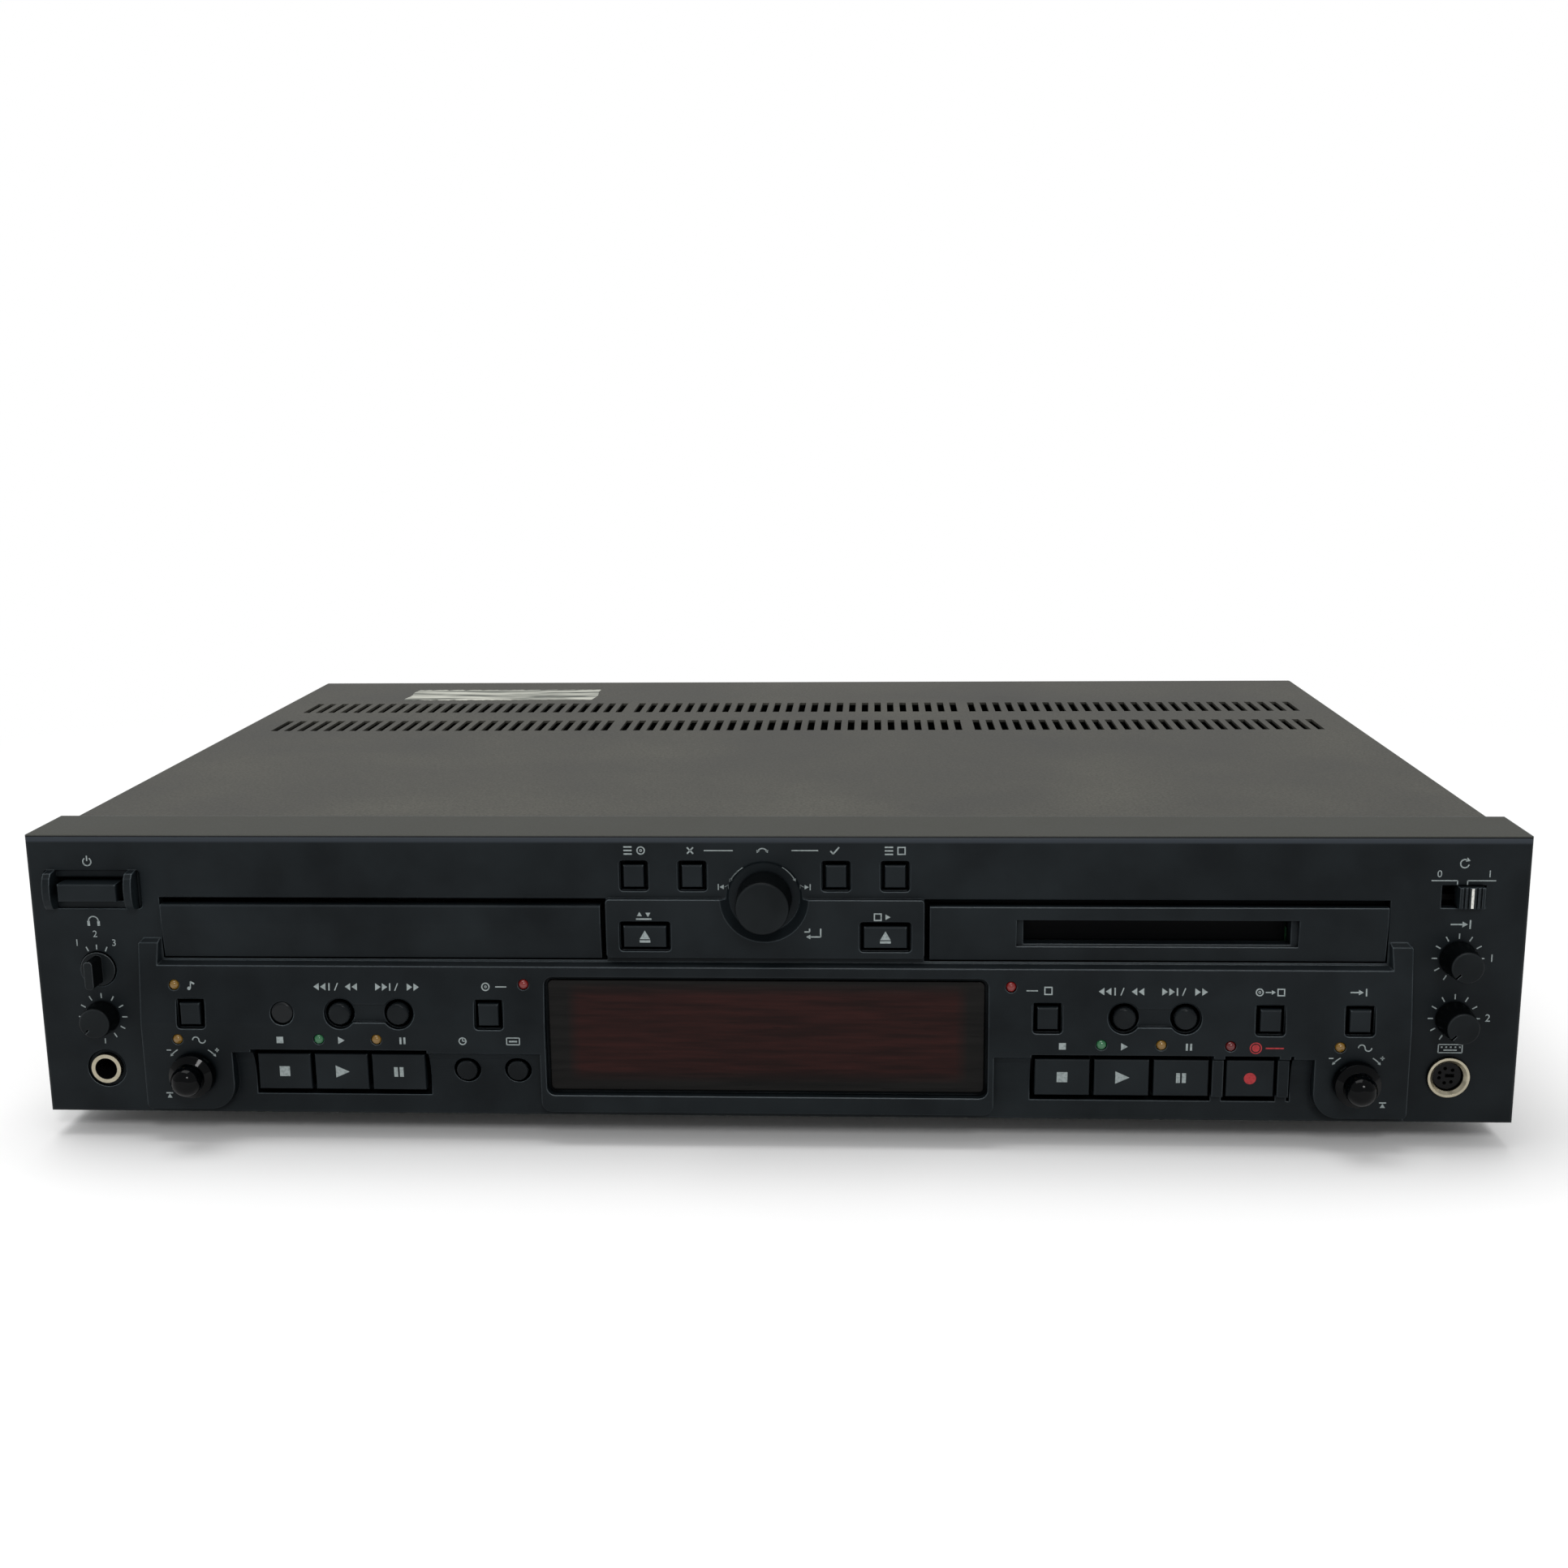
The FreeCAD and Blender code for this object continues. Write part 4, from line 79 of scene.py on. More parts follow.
# %% Colour and node helpers
def hex_colour(code):
    """An sRGB hex colour as linear red, green and blue, with full alpha."""
    channels = [int(code[i:i + 2], 16) / 255 for i in (1, 3, 5)]
    linear = [c / 12.92 if c <= 0.04045 else ((c + 0.055) / 1.055) ** 2.4 for c in channels]
    return linear + [1.0]


def add_node(owner, kind, inputs=None, **properties):
    """Adds a node to a material or a world. An input gets a value, or another node's output to link to."""
    tree = owner.node_tree
    node = tree.nodes.new(kind)
    for name, value in properties.items():
        setattr(node, name, value)
    for name, value in (inputs or {}).items():
        if isinstance(value, bpy.types.NodeSocket):
            tree.links.new(value, node.inputs[name])
        else:
            node.inputs[name].default_value = value
    return node


print("mid grey is", [round(c, 3) for c in hex_colour("#808080")[:3]])

# %% [markdown]
# Every finish starts from the shader that Blender gives a new material. Its plain settings are numbers, and
# what changes over the surface is driven by nodes. A texture's scale is worked out from the real width of its
# pattern. Blender's Mix node has more sockets than show, so the ones that mix two colours are named here.

# %% Main shader helpers
SHARE, FIRST, SECOND, MIXED = 0, 6, 7, 2


def main_input(material, name):
    """An input of the shader that Blender gives a new material, with underscores for spaces."""
    return material.node_tree.nodes["Principled BSDF"].inputs[name.replace("_", " ")]


def new_finish(name, **settings):
    """A material with its main shader set, and the place on the object to build patterns on."""
    material = bpy.data.materials.new(name)
    material.use_nodes = True
    for setting, value in settings.items():
        main_input(material, setting).default_value = value
    return material, add_node(material, "ShaderNodeTexCoord").outputs["Object"]


def drive(material, **sockets):
    """Lets what nodes give drive inputs of the main shader."""
    for name, socket in sockets.items():
        material.node_tree.links.new(socket, main_input(material, name))


def driver_of(material, name):
    """What drives an input of the main shader so far."""
    return main_input(material, name).links[0].from_socket


def scale_of(width):
    """The scale of a texture whose pattern has this real width in millimetres."""
    return 1 / (width * MM)


print("a grain 0.35 mm wide has a scale of", round(scale_of(0.35)))

# %% [markdown]
# Narrow gaps get hardly any light, so their colour is darkened towards black there: painted shade. An
# Ambient Occlusion node tells how open the air is near a point. How near depends on what the finish is on:
# a key's gap is narrow, and a board lies in a wide, dark case.

# %% Painted shade in gaps
PLASTIC_GAP, METAL_GAP, BOARD_GAP = 4.0, 8.0, 25.0
SHUT_IN, OPEN, DARKEST = 0.2, 0.6, 0.03


def painted_gap_shade(material, colour, gap):
    """A colour darkened with painted shade where a point has little open air near it, the light left there,
    and the air.
    """
    air = add_node(material, "ShaderNodeAmbientOcclusion", {"Distance": gap * MM}, samples=6).outputs["AO"]
    reach = add_node(material, "ShaderNodeMapRange", {
        "Value": air, "From Min": SHUT_IN, "From Max": OPEN, "To Min": DARKEST}).outputs[0]
    # Painted shade: the colour is multiplied by the light left at the point.
    shade = add_node(material, "ShaderNodeMix", {
        SHARE: 1.0, FIRST: colour, SECOND: reach}, data_type="RGBA", blend_type="MULTIPLY")
    return shade.outputs[MIXED], reach, air


print("gaps are looked for within", (PLASTIC_GAP, METAL_GAP, BOARD_GAP), "mm")

# %% [markdown]
# ### Moulded plastic
# The front, the keys and most knobs are injection-moulded ABS. The steel mould is spark-eroded, which
# leaves a fine grain of a few hundredths of a millimetre that breaks up reflections. The grain itself is
# too fine to show, so it is drawn 0.35 mm wide, or wider where it should show more. Handling polishes the
# edges, so they are a little smoother there. They are also paler and shinier: partly wear, and partly a
# painted highlight that is strongest where an edge faces up towards the light. A Bevel node rounds the edges
# in the shading only, which leaves the model's own mesh as it is. Only the top of the case is paler where it
# faces up: dust, where nobody's fingers wipe it off, and painted light falling from above. Gaps get painted
# shade.

# %% Moulded plastic
DUST_AND_TOP_LIGHT_HEIGHT = 88.0
PATCH = 22.0
WORN_AND_HIGHLIT_SHINE, WORN_SMOOTHER, GRAIN_SPREAD = 0.6, 0.3, 0.14


def moulded_plastic(name, colour, pale, roughness, grain=0.35, depth=0.004, edge=0.3, gloss=0.1, wear_and_highlight=0.5):
    """ABS with grain, wear and painted highlight on edges, painted shade in gaps, dust and painted light on
    the case's top, in millimetres.
    """
    material, place = new_finish(name, IOR=1.53)
    round_edge = add_node(material, "ShaderNodeBevel", {"Radius": edge * MM}, samples=4).outputs[0]
    upward = add_node(material, "ShaderNodeSeparateXYZ", {0: round_edge}).outputs["Z"]
    patches = add_node(material, "ShaderNodeTexNoise", {
        "Vector": place, "Scale": scale_of(PATCH), "Detail": 3.0}).outputs["Fac"]
    uneven = add_node(material, "ShaderNodeMapRange", {
        "Value": patches, "From Min": 0.3, "From Max": 0.7, "To Min": 0.0, "To Max": 0.05}).outputs[0]
    mottled = add_node(material, "ShaderNodeMix", {
        SHARE: uneven, FIRST: hex_colour(colour), SECOND: hex_colour(pale)}, data_type="RGBA").outputs[MIXED]
    # On the case's top only: paler the more the surface faces up, from dust and painted light falling from
    # above.
    facing_up_share = add_node(material, "ShaderNodeMapRange", {
        "Value": upward, "From Min": 0.25, "From Max": 0.95, "To Min": 0.0, "To Max": 0.55}).outputs[0]
    height = add_node(material, "ShaderNodeSeparateXYZ", {0: place}).outputs["Z"]
    high = add_node(material, "ShaderNodeMath", {
        0: height, 1: DUST_AND_TOP_LIGHT_HEIGHT * MM}, operation="GREATER_THAN").outputs[0]
    dust = add_node(material, "ShaderNodeMath", {0: facing_up_share, 1: high}, operation="MULTIPLY").outputs[0]
    dusted_and_top_lit = add_node(material, "ShaderNodeMix", {
        SHARE: dust, FIRST: mottled, SECOND: hex_colour("#4e4e47")}, data_type="RGBA").outputs[MIXED]
    shaded, reach, air = painted_gap_shade(material, dusted_and_top_lit, PLASTIC_GAP)
    flat = add_node(material, "ShaderNodeNewGeometry").outputs["Normal"]
    facing = add_node(material, "ShaderNodeVectorMath", {
        0: round_edge, 1: flat}, operation="DOT_PRODUCT").outputs["Value"]
    # Edges are paler: wear, and a painted highlight that is strongest where an edge faces up towards the
    # light.
    on_edge = add_node(material, "ShaderNodeMapRange", {
        "Value": facing, "From Min": 0.995, "From Max": 0.8, "To Min": 0.0, "To Max": wear_and_highlight}).outputs[0]
    proud = add_node(material, "ShaderNodeMapRange", {
        "Value": air, "From Min": 0.6, "From Max": 0.8}).outputs[0]
    lit = add_node(material, "ShaderNodeMapRange", {
        "Value": upward, "From Min": -0.2, "From Max": 0.5, "To Min": 0.1, "To Max": 1.0}).outputs[0]
    outer = add_node(material, "ShaderNodeMath", {0: on_edge, 1: proud}, operation="MULTIPLY").outputs[0]
    worn = add_node(material, "ShaderNodeMath", {0: outer, 1: lit}, operation="MULTIPLY").outputs[0]
    tint = add_node(material, "ShaderNodeMix", {
        SHARE: worn, FIRST: shaded, SECOND: hex_colour(pale)}, data_type="RGBA").outputs[MIXED]
    # Edges shine more from wear and a painted highlight, and painted shade dims the shine in gaps.
    edge_shine = add_node(material, "ShaderNodeMath", {
        0: worn, 1: WORN_AND_HIGHLIT_SHINE, 2: gloss}, operation="MULTIPLY_ADD").outputs[0]
    shine = add_node(material, "ShaderNodeMath", {0: reach, 1: edge_shine}, operation="MULTIPLY").outputs[0]
    grains = add_node(material, "ShaderNodeTexNoise", {
        "Vector": place, "Scale": scale_of(grain), "Detail": 2.0}).outputs["Fac"]
    rough = add_node(material, "ShaderNodeMapRange", {
        "Value": grains, "To Min": roughness * (1 - GRAIN_SPREAD),
        "To Max": roughness * (1 + GRAIN_SPREAD)}).outputs[0]
    smoother = add_node(material, "ShaderNodeMath", {
        0: worn, 1: -WORN_SMOOTHER * roughness, 2: rough}, operation="MULTIPLY_ADD").outputs[0]
    bump = add_node(material, "ShaderNodeBump", {
        "Height": grains, "Distance": depth * MM, "Normal": round_edge}).outputs[0]
    drive(material, Base_Color=tint, Specular_IOR_Level=shine, Roughness=smoother, Normal=bump)
    return material


print("dust lies above", DUST_AND_TOP_LIGHT_HEIGHT, "mm")

# %% [markdown]
# A knob's side is darker than its satin front face: painted shade on the side that turns from the light. The
# front panel's top edge is rounded, so a pale stripe is painted along it as a painted highlight, under a dark
# line of painted shade where it turns away.

# %% Knobs and front panel
# Pale colour of the edges: wear, and a painted highlight.
WORN_AND_HIGHLIT_ABS = "#5b676d"
HIGHLIGHT_START, HIGHLIGHT_END, SHADE_LINE = 2.2, 1.5, 0.5


def side_shaded_knob():
    """A knob's plastic: a satin front face, and a side darkened with painted shade."""
    material = moulded_plastic(
        "moulded_abs_knobs", "#090d0f", "#6a7276", 0.42, edge=0.5, gloss=0.08, wear_and_highlight=0.9)
    facing = add_node(material, "ShaderNodeNewGeometry").outputs["Normal"]
    forward = add_node(material, "ShaderNodeSeparateXYZ", {0: facing}).outputs["Y"]
    # Painted shade: the further a face turns from the front, the darker its colour and shine.
    share = add_node(material, "ShaderNodeMapRange", {
        "Value": forward, "From Min": -0.4, "From Max": -0.9, "To Min": 0.3, "To Max": 1.0}).outputs[0]
    for name in ("Base_Color", "Specular_IOR_Level"):
        darker = add_node(material, "ShaderNodeMix", {
            SHARE: 1.0, FIRST: driver_of(material, name), SECOND: share},
            data_type="RGBA", blend_type="MULTIPLY").outputs[MIXED]
        drive(material, **{name: darker})
    return material


def front_with_painted_edge():
    """The front's plastic, with a painted highlight along its rounded top edge and a painted shade line above
    it.
    """
    material = moulded_plastic("moulded_abs_front", "#0a0f12", WORN_AND_HIGHLIT_ABS, 0.5, edge=0.6, wear_and_highlight=0.9)
    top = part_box("front_panel")[1].z
    place = add_node(material, "ShaderNodeTexCoord").outputs["Object"]
    height = add_node(material, "ShaderNodeSeparateXYZ", {0: place}).outputs["Z"]
    facing = add_node(material, "ShaderNodeNewGeometry").outputs["Normal"]
    forward = add_node(material, "ShaderNodeSeparateXYZ", {0: facing}).outputs["Y"]
    front = add_node(material, "ShaderNodeMath", {0: forward, 1: -0.5}, operation="LESS_THAN").outputs[0]
    band = add_node(material, "ShaderNodeMapRange", {
        "Value": height, "From Min": top - HIGHLIGHT_START * MM, "From Max": top - HIGHLIGHT_END * MM}).outputs[0]
    line = add_node(material, "ShaderNodeMath", {
        0: height, 1: top - SHADE_LINE * MM}, operation="GREATER_THAN").outputs[0]
    # A painted highlight and a painted shade line run along the front face's top edge.
    for stripe, colour in ((band, "#2f343a"), (line, "#0a0c0e")):
        shown = add_node(material, "ShaderNodeMath", {0: stripe, 1: front}, operation="MULTIPLY").outputs[0]
        tint = add_node(material, "ShaderNodeMix", {
            SHARE: shown, FIRST: driver_of(material, "Base_Color"), SECOND: hex_colour(colour)},
            data_type="RGBA").outputs[MIXED]
        drive(material, Base_Color=tint)
    return material


finishes = {
    "panel_abs": moulded_plastic("moulded_abs_panel", "#0a0f12", WORN_AND_HIGHLIT_ABS, 0.5, edge=0.6, wear_and_highlight=0.9),
    "key_abs": moulded_plastic("moulded_abs_keys", "#0d1215", WORN_AND_HIGHLIT_ABS, 0.42, edge=0.45, wear_and_highlight=0.9),
    "knob_abs": side_shaded_knob(),
    "loader_abs": moulded_plastic("moulded_abs_loader", "#1b1c1d", "#3c3d3e", 0.55, gloss=0.3),
    "gloss_knob": moulded_plastic(
        "polished_abs", "#010203", "#07080a", 0.06, depth=0.0006, edge=0.2, wear_and_highlight=0.1),
    "gear_pom": moulded_plastic("natural_acetal", "#d9d6c9", "#e6e4da", 0.45, depth=0.002, gloss=0.4),
    "rubber": moulded_plastic("moulded_rubber", "#101010", "#242424", 0.85, grain=0.6, depth=0.02, gloss=0.3),
}
print("moulded plastics:", ", ".join(m.name for m in finishes.values()))

# %% [markdown]
# ### Painted steel
# The cover is sheet steel with a baked paint that dries in a fine wrinkle. The wrinkle is under half a
# millimetre wide and dulls the reflection, so the cover looks like dark stone more than like metal. It is
# drawn 0.8 mm wide, so that it shows. Wider patches stand for rubbing and dust.

# %% Painted steel
WRINKLE, RUBBED_PATCH = 0.8, 60.0


def painted_steel():
    """Baked dark grey paint with a fine wrinkle, a few rubbed patches and dust."""
    material, place = new_finish("wrinkle_painted_steel", IOR=1.5, Specular_IOR_Level=0.25)
    wrinkle, patches = (add_node(material, "ShaderNodeTexNoise", {
        "Vector": place, "Scale": scale_of(width), "Detail": 4.0}).outputs["Fac"]
        for width in (WRINKLE, RUBBED_PATCH))
    mixed = add_node(material, "ShaderNodeMath", {0: wrinkle, 1: patches}, operation="MULTIPLY").outputs[0]
    share = add_node(material, "ShaderNodeMapRange", {
        "Value": mixed, "From Min": 0.1, "From Max": 0.45}).outputs[0]
    tint = add_node(material, "ShaderNodeMix", {
        SHARE: share, FIRST: hex_colour("#2b2b27"), SECOND: hex_colour("#504f48")},
        data_type="RGBA").outputs[MIXED]
    rough = add_node(material, "ShaderNodeMapRange", {
        "Value": patches, "From Min": 0.3, "From Max": 0.7, "To Min": 0.5, "To Max": 0.62}).outputs[0]
    round_edge = add_node(material, "ShaderNodeBevel", {"Radius": 0.3 * MM}, samples=4).outputs[0]
    bump = add_node(material, "ShaderNodeBump", {
        "Height": wrinkle, "Distance": 0.02 * MM, "Normal": round_edge}).outputs[0]
    drive(material, Base_Color=tint, Roughness=rough, Normal=bump)
    return material


finishes["painted_steel"] = painted_steel()
print("paint:", finishes["painted_steel"].name)

# %% [markdown]
# ### Bare metals
# Zinc plating on sheet steel is pale and a little cloudy, nickel on the sockets is smooth with a warm cast,
# and the transformer's core is a stack of dark sheets, so fine lines run round it. Metals keep the usual IOR.
# The chassis wall behind the front is coloured black as painted shade, so that nothing shines through the
# gaps.

# %% Bare metals
ZINC, ZINC_CLOUD = "#b9bab4", "#9c9d99"
CLOUD_SPREAD = 0.08
SHADED_WALL, SHADED_FROM = -108.0, 12.0
METAL_SHINE, PLASTIC_SHINE = 0.5, 0.1


def plated_metal(name, colour, dull, roughness, cloud=8.0, line=0.0):
    """A metal with cloudy plating, darkened with painted shade in deep gaps, and lined where it is a stack of
    sheets.
    """
    material, place = new_finish(name, Metallic=1.0)
    clouds = add_node(material, "ShaderNodeTexNoise", {
        "Vector": place, "Scale": scale_of(cloud), "Detail": 4.0}).outputs["Fac"]
    tint = add_node(material, "ShaderNodeMix", {
        SHARE: clouds, FIRST: hex_colour(colour), SECOND: hex_colour(dull)}, data_type="RGBA").outputs[MIXED]
    rough = add_node(material, "ShaderNodeMapRange", {
        "Value": clouds, "To Min": roughness - CLOUD_SPREAD, "To Max": roughness + CLOUD_SPREAD}).outputs[0]
    round_edge = add_node(material, "ShaderNodeBevel", {"Radius": 0.2 * MM}, samples=4).outputs[0]
    height = clouds
    if line:
        height = add_node(material, "ShaderNodeTexWave", {
            "Vector": place, "Scale": 0.1 / (line * MM)}, bands_direction="Z").outputs["Fac"]
    bump = add_node(material, "ShaderNodeBump", {
        "Height": height, "Distance": 0.02 * MM, "Normal": round_edge}).outputs[0]
    # Painted shade darkens the colour in deep gaps.
    drive(material, Base_Color=painted_gap_shade(material, tint, METAL_GAP)[0], Roughness=rough, Normal=bump)
    return material


def cover_metal(material, metal, colour):
    """Keeps a metal where a mask is 1, and puts plastic or paint of a colour elsewhere."""
    tint = add_node(material, "ShaderNodeMix", {
        SHARE: metal, FIRST: hex_colour(colour), SECOND: driver_of(material, "Base_Color")},
        data_type="RGBA").outputs[MIXED]
    shine = add_node(material, "ShaderNodeMath", {
        0: metal, 1: METAL_SHINE - PLASTIC_SHINE, 2: PLASTIC_SHINE}, operation="MULTIPLY_ADD").outputs[0]
    drive(material, Base_Color=tint, Metallic=metal, Specular_IOR_Level=shine)


def shade_fronted_chassis():
    """Zinc-plated steel whose wall behind the front is coloured black as painted shade."""
    material = plated_metal("zinc_plated_chassis", ZINC, ZINC_CLOUD, 0.38)
    place = add_node(material, "ShaderNodeTexCoord").outputs["Object"]
    parts = add_node(material, "ShaderNodeSeparateXYZ", {0: place}).outputs
    near = add_node(material, "ShaderNodeMath", {
        0: parts["Y"], 1: SHADED_WALL * MM}, operation="LESS_THAN").outputs[0]
    raised = add_node(material, "ShaderNodeMath", {
        0: parts["Z"], 1: SHADED_FROM * MM}, operation="GREATER_THAN").outputs[0]
    # Painted shade: the wall behind the front is black.
    painted = add_node(material, "ShaderNodeMath", {0: near, 1: raised}, operation="MULTIPLY").outputs[0]
    bare = add_node(material, "ShaderNodeMath", {0: 1.0, 1: painted}, operation="SUBTRACT").outputs[0]
    cover_metal(material, bare, "#050505")
    return material


finishes["zinc_steel"] = plated_metal("zinc_plated_steel", ZINC, ZINC_CLOUD, 0.38)
finishes["core_steel"] = plated_metal("laminated_core_steel", "#6b6864", "#4d4a47", 0.5, line=0.7)
print("metals:", finishes["zinc_steel"].name, finishes["core_steel"].name)

# %% [markdown]
# ### Sockets
# A socket on the front is a nickel-plated ring round black plastic, and a phono socket on the back is a
# nickel sleeve that stands in a coloured ring. Each is one piece in the model, so its finish asks how far a
# point is from the socket's axis or from the back, and takes plastic instead of metal there.

# %% Sockets on the front
def nickel(name):
    """Nickel plating on a socket."""
    return plated_metal(name, "#bab39f", "#8f8976", 0.28, cloud=2.0)


def ringed_socket(name, across, height, radius):
    """Nickel outside a radius about the socket's axis and black plastic inside it, in millimetres."""
    material = nickel(name)
    place = add_node(material, "ShaderNodeTexCoord").outputs["Object"]
    offset = add_node(material, "ShaderNodeMapping", {
        "Vector": place, "Location": (-across * MM, 0, -(FOOT + height) * MM), "Scale": (1, 0, 1)}).outputs[0]
    away = add_node(material, "ShaderNodeVectorMath", {0: offset}, operation="LENGTH").outputs["Value"]
    metal = add_node(material, "ShaderNodeMath", {
        0: away, 1: radius * MM}, operation="GREATER_THAN").outputs[0]
    cover_metal(material, metal, "#0b0b0c")
    return material


socket_finishes = {
    "phones_jack": ringed_socket("phones_socket_nickel", -198.9, 14.0, 3.35),
    "keyboard_socket": ringed_socket("keyboard_socket_nickel", 197.9, 14.5, 4.25),
}
print("sockets:", ", ".join(socket_finishes))

# %% Sockets on the back
BLOCK_END, RING_END, ROWS_MEET = 145.6, 147.8, 43.0


def phono_socket():
    """Black plastic, with white rings at the back of the upper row, red ones below, and nickel sleeves."""
    material = nickel("phono_socket_nickel")
    place = add_node(material, "ShaderNodeTexCoord").outputs["Object"]
    parts = add_node(material, "ShaderNodeSeparateXYZ", {0: place}).outputs
    outside, metal, upper = (add_node(material, "ShaderNodeMath", {
        0: parts[axis], 1: end * MM}, operation="GREATER_THAN").outputs[0]
        for axis, end in (("Y", BLOCK_END), ("Y", RING_END), ("Z", ROWS_MEET)))
    ring = add_node(material, "ShaderNodeMix", {
        SHARE: upper, FIRST: hex_colour("#8f1f1c"), SECOND: hex_colour("#c9c9c2")},
        data_type="RGBA").outputs[MIXED]
    plastic = add_node(material, "ShaderNodeMix", {
        SHARE: outside, FIRST: hex_colour("#141414"), SECOND: ring}, data_type="RGBA").outputs[MIXED]
    tint = add_node(material, "ShaderNodeMix", {
        SHARE: metal, FIRST: plastic, SECOND: driver_of(material, "Base_Color")},
        data_type="RGBA").outputs[MIXED]
    drive(material, Base_Color=tint, Metallic=metal)
    return material


socket_finishes["rear_jacks"] = phono_socket()
print("sockets:", ", ".join(socket_finishes))

# %% [markdown]
# ### Circuit board
# A board is glass laminate under green solder mask. Copper tracks stand a little proud and look paler through
# the mask, so a brick pattern of narrow lanes stands for them.

# %% Circuit board
LANE = 12.0
BOARD_FRONT, BOARD_BACK, STANDOFF, BOARD_THICKNESS = -125.1, -123.3, 6.9, 1.8


def solder_mask(name, axis, low, high):
    """Green solder mask over lanes of copper track, black parts outside the board's own thickness, and
    painted shade.
    """
    material, place = new_finish(name, IOR=1.5, Roughness=0.35)
    lanes = add_node(material, "ShaderNodeTexBrick", {
        "Vector": place, "Scale": scale_of(LANE), "Mortar Size": 0.03, "Color1": hex_colour("#0f3a1f"),
        "Color2": hex_colour("#124323"), "Mortar": hex_colour("#1d5a31")}).outputs
    depth = add_node(material, "ShaderNodeSeparateXYZ", {0: place}).outputs[axis]
    inside = add_node(material, "ShaderNodeMath", {
        0: depth, 1: (low + high) / 2, 2: (high - low) / 2}, operation="COMPARE").outputs[0]
    tint = add_node(material, "ShaderNodeMix", {
        SHARE: inside, FIRST: hex_colour("#0c0d0e"), SECOND: lanes["Color"]}, data_type="RGBA").outputs[MIXED]
    bump = add_node(material, "ShaderNodeBump", {"Height": lanes["Fac"], "Distance": 0.03 * MM}).outputs[0]
    # Painted shade darkens the board where the case closes round it.
    drive(material, Base_Color=painted_gap_shade(material, tint, BOARD_GAP)[0], Normal=bump)
    return material


standoff_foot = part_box("main_board")[0].z
board_finishes = {
    "front_board": solder_mask("front_board_laminate", "Y", BOARD_FRONT * MM, BOARD_BACK * MM),
    "main_board": solder_mask("main_board_laminate", "Z", standoff_foot + STANDOFF * MM,
                              standoff_foot + (STANDOFF + BOARD_THICKNESS) * MM),
}
print("boards:", ", ".join(board_finishes))

# %% [markdown]
# ### Smoked display window
# The window is a block of smoked acrylic. Behind it a dark red filter covers the glass display, with an
# even brown-black border round it. Years of wiping left faint level streaks. The filter's place is painted
# into the shader from the object's own coordinates, with soft edges, because smoked acrylic blurs what lies
# behind it.

# %% Smoked display window
FILTER_LEFT, FILTER_RIGHT, FILTER_BOTTOM, FILTER_TOP, BLUR = -56.6, 57.2, 13.7, 40.4, 2.0
STREAK, SCRATCH, STREAK_STRETCH = 22.0, 13.0, 16.0


def smoked_acrylic():
    """Near-black polished acrylic with a dark red field and level streaks."""
    material, place = new_finish("smoked_acrylic", IOR=1.49, Specular_IOR_Level=0.1)
    parts = add_node(material, "ShaderNodeSeparateXYZ", {0: place}).outputs
    edges = []
    for axis, low, high in (("X", FILTER_LEFT, FILTER_RIGHT), ("Z", FOOT + FILTER_BOTTOM, FOOT + FILTER_TOP)):
        for end, beyond in ((low, -BLUR), (high, BLUR)):
            edges.append(add_node(material, "ShaderNodeMapRange", {
                "Value": parts[axis], "From Min": (end + beyond) * MM,
                "From Max": (end - beyond) * MM}).outputs[0])
    field = edges[0]
    for edge in edges[1:]:
        field = add_node(material, "ShaderNodeMath", {0: field, 1: edge}, operation="MULTIPLY").outputs[0]
    stretch = add_node(material, "ShaderNodeMapping", {
        "Vector": place, "Scale": (1.0, 1.0, STREAK_STRETCH)}).outputs[0]
    wiped, scratches = (add_node(material, "ShaderNodeTexNoise", {
        "Vector": stretch, "Scale": scale_of(width), "Detail": detail}).outputs["Fac"]
        for width, detail in ((STREAK, 5.0), (SCRATCH, 2.0)))
    tone = add_node(material, "ShaderNodeMapRange", {
        "Value": wiped, "From Min": 0.35, "From Max": 0.7, "To Min": 0.55, "To Max": 1.35}).outputs[0]
    scratch = add_node(material, "ShaderNodeMapRange", {
        "Value": scratches, "From Min": 0.71, "From Max": 0.76, "To Min": 1.0, "To Max": 0.25}).outputs[0]
    dark = add_node(material, "ShaderNodeMath", {0: tone, 1: scratch}, operation="MULTIPLY").outputs[0]
    base = add_node(material, "ShaderNodeMix", {
        SHARE: field, FIRST: hex_colour("#0f0e0d"), SECOND: hex_colour("#230d0b")},
        data_type="RGBA").outputs[MIXED]
    shown = add_node(material, "ShaderNodeMix", {
        SHARE: 1.0, FIRST: base, SECOND: dark}, data_type="RGBA", blend_type="MULTIPLY").outputs[MIXED]
    rough = add_node(material, "ShaderNodeMapRange", {
        "Value": wiped, "To Min": 0.06, "To Max": 0.22}).outputs[0]
    round_edge = add_node(material, "ShaderNodeBevel", {"Radius": 0.4 * MM}, samples=4).outputs[0]
    drive(material, Base_Color=shown, Roughness=rough, Normal=round_edge)
    return material


finishes["smoked_acrylic"] = smoked_acrylic()
lens = moulded_plastic("smoked_lens", "#101315", "#3c4143", 0.3, grain=0.8, depth=0.02, gloss=0.15)
print("window:", finishes["smoked_acrylic"].name, "and", lens.name)

# %% [markdown]
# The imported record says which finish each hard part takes, so the finishes are handed out from it. Sockets,
# boards, the chassis, the round keys, which are polished, and a few others have finishes of their own.

